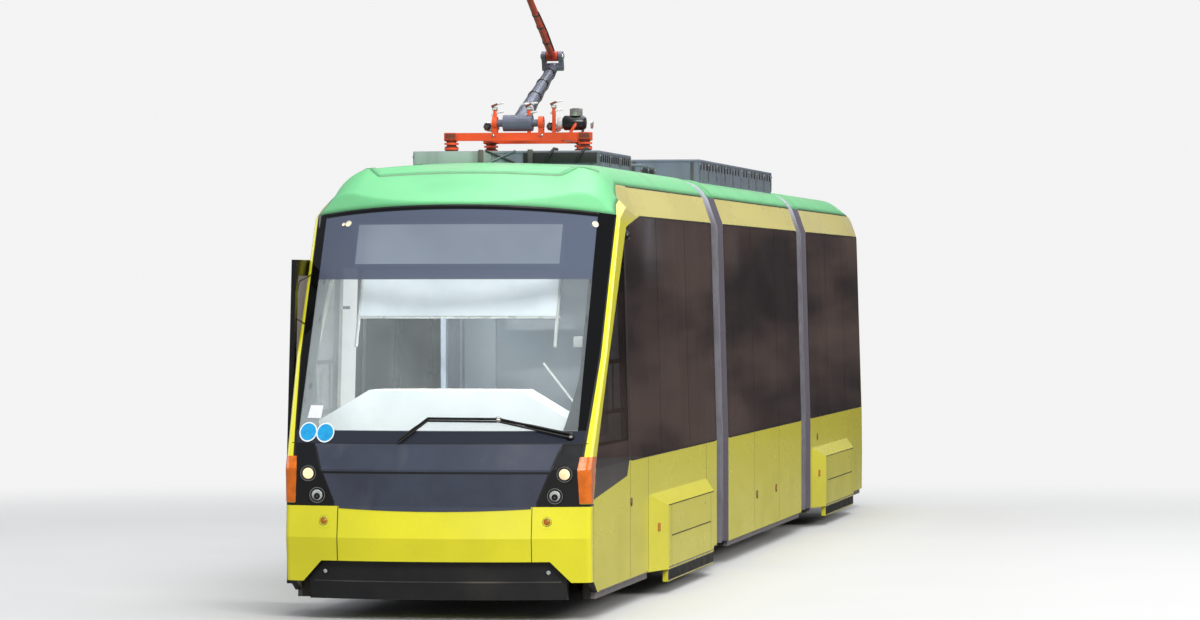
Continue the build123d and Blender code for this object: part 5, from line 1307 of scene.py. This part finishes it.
def hull_loop(x, inset):
    """Points round the body's cross-section at x, from the left foot over the roof to the right foot."""
    side = BODY_HALF - inset
    edge = (1.10 - inset, GLASS_TOP_Z - 0.3 * inset)
    band = (1.017 - inset, BAND_TOP_Z - 0.35 * inset)
    crown = (0.78 - 0.35 * inset, 3.43 - 0.93 * inset)
    top = 3.45 - inset
    half = [(side, z) for z in spread(BELLOWS_FOOT_Z, WAIST_Z, 6)]
    half += [(lean(side, WAIST_Z, *edge, z), z) for z in spread(WAIST_Z, edge[1], 8)[1:]]
    half += line(edge, band, 4)[1:]
    for t in (0.2, 0.4, 0.6, 0.8, 1.0):
        bulge = 0.032 * 4 * t * (1 - t)
        y, z = (lean(low, 0, high, 1, t) for low, high in zip(band, crown))
        half.append((y + 0.57 * bulge, z + 0.82 * bulge))
    half += [
        (lean(crown[0], 0, 0, CROWN_STEPS, i), top - (top - crown[1]) * (1 - i / CROWN_STEPS) ** 2)
        for i in range(1, CROWN_STEPS)
    ]
    half.append((0, top))
    return [Vector((x, y, z)) for y, z in half] + [Vector((x, -y, z)) for y, z in reversed(half[:-1])]


def bellows_piece(name, low_x, high_x, node):
    """Folds from both ends to a hoop in the middle. A fold's cloth is thin, and the hoop is solid behind."""
    centre = (low_x + high_x) / 2
    start, stop = low_x + 0.012, centre - HOOP_HALF
    stations = [(low_x + 0.002, 0.050)]
    for i, x in enumerate(spread(start, stop, int((stop - start) / FOLD_PITCH))):
        stations.append((x, FOLD_INSETS[i % 2]))
    stations += [
        (centre - 0.064, 0.030), (centre - 0.060, 0.0145), (centre - 0.052, 0.0125), (centre - 0.014, 0.0125),
        (centre - 0.007, 0.016), (centre - 0.005, 0.060),
    ]
    stations += [(2 * centre - x, inset) for x, inset in reversed(stations)]
    shape = Shape()
    loops = []
    for x, inset in stations:
        inner = inset + CLOTH_DEPTH if inset > 0.04 else HOOP_INSET
        loops.append(hull_loop(x, inset) + hull_loop(x, inner)[::-1])
    shape.rings(loops, bellows_cloth)
    made = shape.object(name, smooth=28.0)
    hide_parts(node)
    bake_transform(made)


bellows_piece("front_bellows_skin", 1.86, 2.63, "front_bellows")
bellows_piece("rear_bellows_skin", -4.48, -3.69, "rear_bellows")

# Roof boxes: lids, louvres, clamps and cables


def roof_unit(shape, low, high, louvres):
    """Lid, clamps and louvres over a plain roof box."""
    (x_low, y_low, z_low), (x_high, y_high, z_high) = low, high
    shape.block((x_low - 0.006, y_low - 0.006, z_high - 0.022),
                (x_high + 0.006, y_high + 0.006, z_high - 0.001), roof_box_paint, 0.006)
    ends = ((-1, x_low), (1, x_high))
    flanks = ((-1, y_low), (1, y_high))
    for x in spread(x_low + 0.03, x_high - 0.03, max(2, int((x_high - x_low) / 0.55))):
        for side, y in flanks:
            out = y + side * 0.009
            shape.block((x - 0.016, y, z_low), (x + 0.016, out, z_high - 0.02), frame_grey, 0.003)
            shape.lathe([(0.009, -0.002), (0.009, 0.005), (0.004, 0.007)], (x, out, z_high - 0.045),
                        (0, side, 0), steel, sides=10)
    for side, x in ends:
        for y in spread(y_low + 0.06, y_high - 0.06, 3):
            out = x + side * 0.008
            shape.block((x, y - 0.014, z_low), (out, y + 0.014, z_high - 0.02), frame_grey, 0.003)
    for x in spread(x_low + 0.12, x_high - 0.12, louvres - 1):
        for side, y in flanks:
            out = y + side * 0.007
            shape.block((x - 0.02, y, z_high - 0.09), (x + 0.02, out, z_high - 0.03), black_frame, 0.003)


front_units = Shape()
roof_unit(front_units, (5.0, -0.75, 3.45), (6.66, 0.75, 3.56), 14)
roof_unit(front_units, (2.76, -0.62, 3.45), (3.60, 0.62, 3.53), 8)
for y in (-0.20, 0.20):
    front_units.block((6.662, y - 0.02, 3.45), (6.69, y + 0.02, 3.57), frame_grey)
front_units.block((6.662, -0.74, 3.455), (6.672, -0.12, 3.552), roof_box_paint, 0.003)
front_units.block((6.662, 0.14, 3.46), (6.672, 0.74, 3.545), frame_grey, 0.003)
for low_y, high_y in ((-0.16, 0.08), (0.08, -0.16)):
    front_units.tube([(6.675, low_y, 3.46), (6.675, high_y, 3.56)], 0.008, cable_black, sides=8)
for y in (0.33, 0.58):
    cable = [(6.69, y, 3.48), (6.70, y + 0.03, 3.53), (6.66, y + 0.06, 3.575), (6.45, y + 0.05, 3.575)]
    front_units.tube(cable, 0.012, cable_black, sides=8)
for y, bend in ((0.30, 0.32), (-0.30, -0.30)):
    cable = [(5.0, y, 3.50), (4.7, y, 3.47), (4.2, bend, 3.468), (3.6, y, 3.49)]
    front_units.tube(cable, 0.022, cable_black, sides=10)
front_units.ride("front_roof_units", "front_section")

middle_units = Shape()
roof_unit(middle_units, (-3.63, -0.85, 3.43), (1.61, 0.85, 3.62), 26)
middle_units.ride("middle_roof_units", "middle_section")

# Pantograph base: insulators, brackets, springs over their rods, a round housing and cables


def coil(centre, radius, rise, pitch, turns):
    """Points of a coil that climbs along z; pitch is the turn from one point to the next."""
    points = []
    for t in range(turns + 1):
        away = Vector((radius * math.cos(t * pitch), radius * math.sin(t * pitch), rise * t / turns))
        points.append(Vector(centre) + away)
    return points


base_parts = Shape()
shed_profile = []
for i in range(4):
    z = 0.012 + i * 0.026
    shed_profile += [(0.040, z), (0.056, z + 0.008), (0.056, z + 0.012), (0.040, z + 0.018)]
for x, y in ((6.1, 0.55), (6.1, -0.55), (5.25, 0.38), (5.25, -0.38)):
    base_parts.lathe(shed_profile, (x, y, 3.56), (0, 0, 1), insulator, sides=24)
    base_parts.around((x, y, 3.696), (0.05, 0.05, 0.028), orange_paint, 0.006)
for y in (-0.55, -0.2, 0.2, 0.55):
    base_parts.lathe([(0.012, -0.002), (0.012, 0.006), (0.006, 0.010)], (6.134, y, 3.70), (1, 0, 0),
                     steel, sides=6)
for y, top in ((-0.19, 3.915), (0.09, 3.915), (0.295, 3.93)):
    base_parts.block((6.085, y - 0.014, 3.70), (6.115, y + 0.014, top), orange_paint, 0.005)
    base_parts.block((6.08, y - 0.02, top - 0.01), (6.12, y + 0.02, top + 0.014), black_frame)
    for z in (top + 0.02, top - 0.05):
        base_parts.tube([(6.10, y - 0.03, z), (6.10, y + 0.02, z + 0.022), (6.09, y + 0.07, z + 0.03)],
                        [0.012, 0.010, 0.007], white_metal, sides=8)
for y in (-0.26, 0.26):
    turns = coil((0, 0, 0), 0.034, 0.34, 0.8, 120)
    spring = [(5.72 + rise, y + along, 3.775 + across) for along, across, rise in turns]
    base_parts.tube(spring, 0.006, steel, sides=6)
for y in (-0.26, 0.26):
    base_parts.tube([(5.60, y, 3.775), (6.08, y, 3.775)], 0.016, frame_grey, sides=10)
base_parts.lathe([(0.055, 0.0), (0.060, 0.01), (0.060, 0.16), (0.045, 0.18), (0.02, 0.185)],
                 (6.06, 0.37, 3.80), (0, 1, 0), black_frame)
base_parts.lathe([(0.05, -0.004), (0.052, 0.0), (0.052, 0.055), (0.02, 0.06)], (6.06, 0.47, 3.86), (0, 0, 1),
                 steel, sides=24)
base_parts.lathe([(0.042, -0.01), (0.048, 0.0), (0.048, 0.03), (0.03, 0.034)], (6.06, 0.33, 3.80), (0, 1, 0),
                 white_metal, sides=24)
base_parts.lathe([(0.024, -0.008), (0.032, -0.008), (0.032, 0.008), (0.024, 0.008)], (6.06, 0.60, 3.785),
                 (0, 1, 0), steel, sides=24, closed=True)
base_parts.tube([(6.11, 0.36, 3.655), (6.12, 0.42, 3.70), (6.12, 0.47, 3.78), (6.11, 0.48, 3.80)],
                [0.010, 0.013, 0.013, 0.008], orange_paint, sides=8)
base_parts.tube([(6.0, 0.50, 3.80), (5.85, 0.50, 3.78), (5.6, 0.44, 3.72), (5.3, 0.40, 3.70)], 0.011,
                cable_black, sides=8)
base_parts.ride("pantograph_base_parts", "front_section")

# Pantograph pivots at rest, and the arms' fittings along them
ARM_RISE = 0.62030
ARM_RUN = 1.65025
ARM_LENGTH = 1.763
BASE = Vector((6.1, 0, 3.8))
KNEE = BASE + Vector((-ARM_RUN, 0, ARM_RISE))
HEAD = BASE + Vector((0, 0, 2 * ARM_RISE))
slope = (KNEE - BASE).normalized()
reach = (HEAD - KNEE).normalized()
under = Vector((-math.sin(math.radians(20.6)), 0, -math.cos(math.radians(20.6))))


def along_arm(share):
    """A place on the lower arm's middle line, which drops below the line of its pivots."""
    return BASE + slope * (ARM_LENGTH * share) + under * (0.095 * share)


def clamp_ring(shape, radius, lift, half, centre, axis, material, sides):
    """A ring round an arm, its ends sunk into the arm."""
    foot, rim, flat = radius - 0.002, radius + lift, half - 0.004
    profile = [(foot, -half), (rim, -flat), (rim, flat), (foot, half)]
    shape.lathe(profile, centre, axis, material, sides=sides)


arm_parts = Shape()
for share in (0.22, 0.45, 0.68, 0.88):
    clamp_ring(arm_parts, lean(0.062, 0, 0.038, 1, share), 0.006, 0.018, along_arm(share), slope,
               white_metal if share == 0.22 else black_frame, 24)
cable = []
for i, share in enumerate(spread(0.08, 0.92, 24)):
    beside = lean(0.062, 0, 0.038, 1, share) + 0.012
    cable.append(along_arm(share) + Vector((0, beside, 0.008 * math.sin(i * 1.1))))
arm_parts.tube(cable, 0.008, cable_black, sides=8)
for side in SIDES:
    arm_parts.lathe([(0.024, -0.004), (0.024, 0.008), (0.012, 0.012)],
                    KNEE + Vector((0, side * 0.09, 0)), (0, side, 0), steel, sides=6)
arm_parts.ride("lower_arm_parts", "lower_arm")

upper_parts = Shape()
for share in (0.18, 0.36, 0.5):
    clamp_ring(upper_parts, lean(0.032, 0, 0.026, 0.55, share), 0.005, 0.014,
               KNEE + reach * (ARM_LENGTH * share), reach, black_frame, 20)
cable_places = ((0.12, 0.034, 0.0), (0.5, 0.036, 0.008), (0.92, 0.03, 0.0))
cable = [KNEE + reach * along + Vector((0, y, z)) for along, y, z in cable_places]
upper_parts.tube(cable, 0.006, cable_black, sides=8)
upper_parts.tube([HEAD - reach * 0.2 + Vector((0, y, 0)) for y in (-0.195, 0.195)], 0.010, arm_red, sides=10)
upper_parts.ride("upper_arm_parts", "upper_arm")

head_parts = Shape()
top = HEAD.z + 0.11
for side in SIDES:
    x = 6.1 + side * 0.19
    head_parts.block((x - 0.021, -0.555, top - 0.012), (x + 0.021, 0.555, top - 0.0005), carbon, 0.003)
    for y in (-0.24, 0.24):
        head_parts.tube(coil((x, y, top - 0.075), 0.014, 0.036, 0.9, 48), 0.003, steel, sides=6)
        head_parts.around((x, y, top - 0.041), (0.03, 0.03, 0.007), steel, 0.003)
    for end in SIDES:
        horn = ((0.56, 0.017), (0.66, 0.075), (0.76, 0.142), (0.805, 0.176))
        head_parts.tube([(x, end * y, top - drop) for y, drop in horn], [0.021, 0.020, 0.018, 0.012],
                        arm_grey, sides=10)
head_parts.ride("collector_parts", "collector_head")

# Seat pads: crowned cushions on the shells
PAD_STEPS = 9
PAD_WIDTH = 0.40


def pad(shape, centre, along, length, height, material):
    """A crowned pad that lies along a direction and across the vehicle, its sides drawn in."""
    along, across = Vector(along).normalized(), Vector((0, 1, 0))
    lift = along.cross(across).normalized()
    if lift.z < -0.01 or (abs(lift.z) <= 0.01 and lift.x < 0):
        lift = -lift
    before = len(shape.mesh.faces)
    made = {}

    def vertex(level, i, j):
        """The pad's point on its upper (1) or lower (-1) face; both faces share the rim."""
        rim = i in (0, PAD_STEPS) or j in (0, PAD_STEPS)
        key = (1 if rim else level, i, j)
        if key not in made:
            u, v = 2 * i / PAD_STEPS - 1, 2 * j / PAD_STEPS - 1
            pull_u = 1 - 0.035 * (1 - v * v)
            pull_v = 1 - 0.035 * (1 - u * u)
            crown = max(0.0, (1 - u**6) * (1 - v**6)) ** 0.5
            seam = 1 - 0.22 * math.exp(-((abs(v) - 0.45) / 0.06) ** 2)
            rise = height * crown * (seam if level > 0 else 0.25)
            made[key] = shape.mesh.verts.new(
                Vector(centre) + along * (u * pull_u * length / 2) + across * (v * pull_v * PAD_WIDTH / 2)
                + lift * (rise * level)
            )
        return made[key]

    for level in (1, -1):
        for i in range(PAD_STEPS):
            for j in range(PAD_STEPS):
                places = ((i, j), (i + 1, j), (i + 1, j + 1), (i, j + 1))
                shape.mesh.faces.new([vertex(level, *place) for place in places])
    shape.take(before, material)


def seat_pads(name, places, body, material):
    """A seat and a back pad for each (x, y, shell height, facing)."""
    shape = Shape()
    for x, y, base, facing in places:
        pad(shape, (x + facing * 0.235, y, base + 0.076), (facing, 0, 0.07), 0.33, 0.022, material)
        pad(shape, (x, y, base + 0.345), (-facing * 0.2, 0, 1), 0.50, 0.020, material)
    made = shape.ride(name, body, smooth=60.0)


SEAT_Y = 0.84
HIGH_SEAT_Z, LOW_SEAT_Z = 0.84, 0.76
for end, centre_x in (("front", FRONT_BOGIE_X), ("rear", REAR_BOGIE_X)):
    seats = [
        (centre_x + x, side * SEAT_Y, HIGH_SEAT_Z, facing)
        for side in SIDES
        for x, facing in ((-1.2, 1), (-0.13, -1), (0.13, 1), (1.2, -1))
    ]
    seat_pads(f"{end}_seat_pads", seats, f"{end}_section", seat_plush)
middle_seats = ((1.1, -1), (-0.1, 1), (-0.3, -1), (-1.5, 1), (-1.7, -1), (-2.9, 1))
seat_pads("middle_seat_pads", [(x, SEAT_Y, LOW_SEAT_Z, facing) for x, facing in middle_seats],
          "middle_section", seat_plush)
seat_pads("driver_seat_pads", [(8.05, 0.10, LOW_SEAT_Z, 1)], "front_section", driver_plush)

# Running gear: coil springs, axle box caps with their bolts, ribs on the motors, and wheel bolts
AXLE_Z = 0.335


def bogie_parts(name, centre_x, body):
    shape = Shape()
    for side in SIDES:
        for end in SIDES:
            spring = coil((centre_x + end * 0.26, side * 0.715, 0.41), 0.078, 0.095, 0.7, 36)
            shape.tube(spring, 0.010, rubber, sides=8)
            axle = Vector((centre_x + end * 0.9, side * 0.79, AXLE_Z))
            shape.lathe([(0.085, 0.0), (0.085, 0.012), (0.07, 0.022), (0.02, 0.024)], axle, (0, side, 0),
                        frame_grey, sides=28)
            for c, s in circle(6):
                shape.lathe([(0.009, 0.0), (0.009, 0.020), (0.005, 0.023)], axle + 0.066 * Vector((c, 0, s)),
                            (0, side, 0), steel, sides=6)
        for x in spread(centre_x - 0.36, centre_x + 0.36, 6):
            shape.block((x - 0.012, side * 0.958, 0.24), (x + 0.012, side * 0.966, 0.41), frame_grey, 0.003)
    shape.ride(name, body)


bogie_parts("front_bogie_parts", FRONT_BOGIE_X, "front_bogie")
bogie_parts("rear_bogie_parts", REAR_BOGIE_X, "rear_bogie")

for number, x in enumerate((5.85, 4.05, -5.4, -7.2), start=1):
    shape = Shape()
    for side in SIDES:
        hub = Vector((x, side * 0.545, AXLE_Z))
        for c, s in circle(8):
            shape.lathe([(0.014, -0.004), (0.014, 0.012), (0.008, 0.016)], hub + 0.19 * Vector((c, 0, s)),
                        (0, side, 0), steel, sides=6)
        shape.lathe([(0.243, 0.0), (0.262, 0.0), (0.262, 0.010), (0.243, 0.010)], hub, (0, side, 0), rubber,
                    sides=40, closed=True)
    shape.ride(f"wheel_bolts_{number}", f"wheelset_{number}")

# Lamps and world
BACKDROP = (0.90, 0.90, 0.90, 1)
SKY = (0.86, 0.92, 1.0, 1)
SKY_POWER = 0.60
MIRRORED_DROP = -0.34
world = bpy.data.worlds.new("studio")
bpy.context.scene.world = world
sky = Nodes(world)
mirrored = sky.node("ShaderNodeLightPath", output="Is Glossy Ray")
power = sky.node("ShaderNodeMath", {0: mirrored, 1: MIRRORED_DROP, 2: SKY_POWER}, operation="MULTIPLY_ADD")
sky.node("ShaderNodeOutputWorld", {"Surface": sky.node("ShaderNodeMixShader", {
    0: sky.node("ShaderNodeLightPath", output="Is Camera Ray"),
    1: sky.node("ShaderNodeBackground", {"Color": SKY, "Strength": power}),
    2: sky.node("ShaderNodeBackground", {"Color": BACKDROP, "Strength": 1.0}),
})})

WARM = (1.0, 0.98, 0.95)
WARM_LEFT = (1.0, 0.98, 0.94)
COOL = (0.95, 0.97, 1.0)
WHITE = (1, 1, 1)
CAB_LAMP = (1.1, 0.5)
LAMPS = (
    # name, place, aim, size, power, colour
    ("key_light", (43.1, 15.2, 29.0), (7, 0, 1.5), (22.8, 15.2), 16500, WARM),
    ("top_light", (0, 2, 16), (0, 0, 2), (26, 10), 2600, COOL),
    ("left_light", (2, 18, 9), (0, 1, 1.2), (24, 6), 1750, WARM_LEFT),
    ("right_light", (0, -20, 10), (0, -1, 1.4), (24, 6), 900, COOL),
    ("cab_lamp", (8.30, 0.0, 2.24), (9.0, 0.0, 1.45), CAB_LAMP, 42, WHITE),
    ("cab_back_lamp", (8.45, 0.0, 2.35), (7.2, -0.3, 1.8), CAB_LAMP, 12, WHITE),
)
for name, place, aim, size, power, colour in LAMPS:
    data = bpy.data.lights.new(name, "AREA")
    data.shape = "RECTANGLE"
    data.size, data.size_y = size
    data.energy = power
    data.color = colour
    made = placed(name, data)
    turn = (Vector(aim) - Vector(place)).to_track_quat("-Z", "Y").to_matrix().to_4x4()
    made.matrix_world = Matrix.Translation(Vector(place)) @ turn
    made.visible_camera = False
    made.visible_glossy = size != CAB_LAMP


def street_card():
    """Dull wall with paler uprights in its upper half."""
    p = Paint("card_street")
    wall = p.mix(p.patches(0.5, 6.0, (1.0, 1.0, 1.4), 0.4, 0.62), (112, 94, 88), (52, 46, 48))
    uprights = p.patches(1.0, 3.0, (1.0, 1.6, 0.12), 0.5, 0.62) * p.range(p.z, 2.6, 4.4)
    shade = p.mix(uprights, wall, (168, 172, 188))
    return p.done(p.shader((20, 19, 19), 0.9, p.bump(p.noise(2.0), 0.3, 0.01), emission=shade, power=0.9))


# A card that only mirrors see, in place of the far side of a street beside the windows
CARD_X = -34
card = Shape()
grid = [[(Vector((CARD_X, y, z)), Vector((1, 0, 0))) for y in (1.6, 9.0, 17.0)] for z in (-0.5, 5.0, 11.0)]
card.sheet(grid, 0.05, street_card())
card_piece = card.object("mirror_card")
for kind in ("camera", "diffuse", "shadow", "transmission"):
    setattr(card_piece, f"visible_{kind}", False)


def floor_paint():
    """Pale floor near the tram that fades into the backdrop; it lights the tram less than it shows."""
    p = Paint("studio_floor")
    ahead = p.x - 2.5
    distance = p.math("SQRT", ahead * ahead + p.y * p.y)
    bump = p.bump(p.noise(30.0), 0.1, 0.002)
    near = p.shader(p.mix(p.noise(0.5, 3.0), (202, 201, 199), (197, 196, 194)), 0.75, bump)
    dim = p.shader(p.mix(p.noise(0.5, 3.0), (120, 117, 113), (112, 109, 105)), 0.85, bump)
    glow = p.node("ShaderNodeEmission", {"Color": BACKDROP})
    seen_directly = p.node("ShaderNodeLightPath", output="Is Camera Ray")
    lit_floor = p.node("ShaderNodeMixShader", {0: seen_directly, 1: dim, 2: near})
    fade = p.range(distance, 8.5, 19.0) * seen_directly
    return p.done(p.node("ShaderNodeMixShader", {0: fade, 1: lit_floor, 2: glow}))


FLOOR_SIDES = 64
ground = Shape()
loops = [[Vector((r * c, r * s, 0.0)) for c, s in circle(FLOOR_SIDES)] for r in (0.5, 20, 60, 150)]
ground.rings(loops, floor_paint(), closed_ends=False)
ground.mesh.faces.new(list(ground.mesh.verts)[:FLOOR_SIDES])
floor_piece = ground.object("studio_floor")
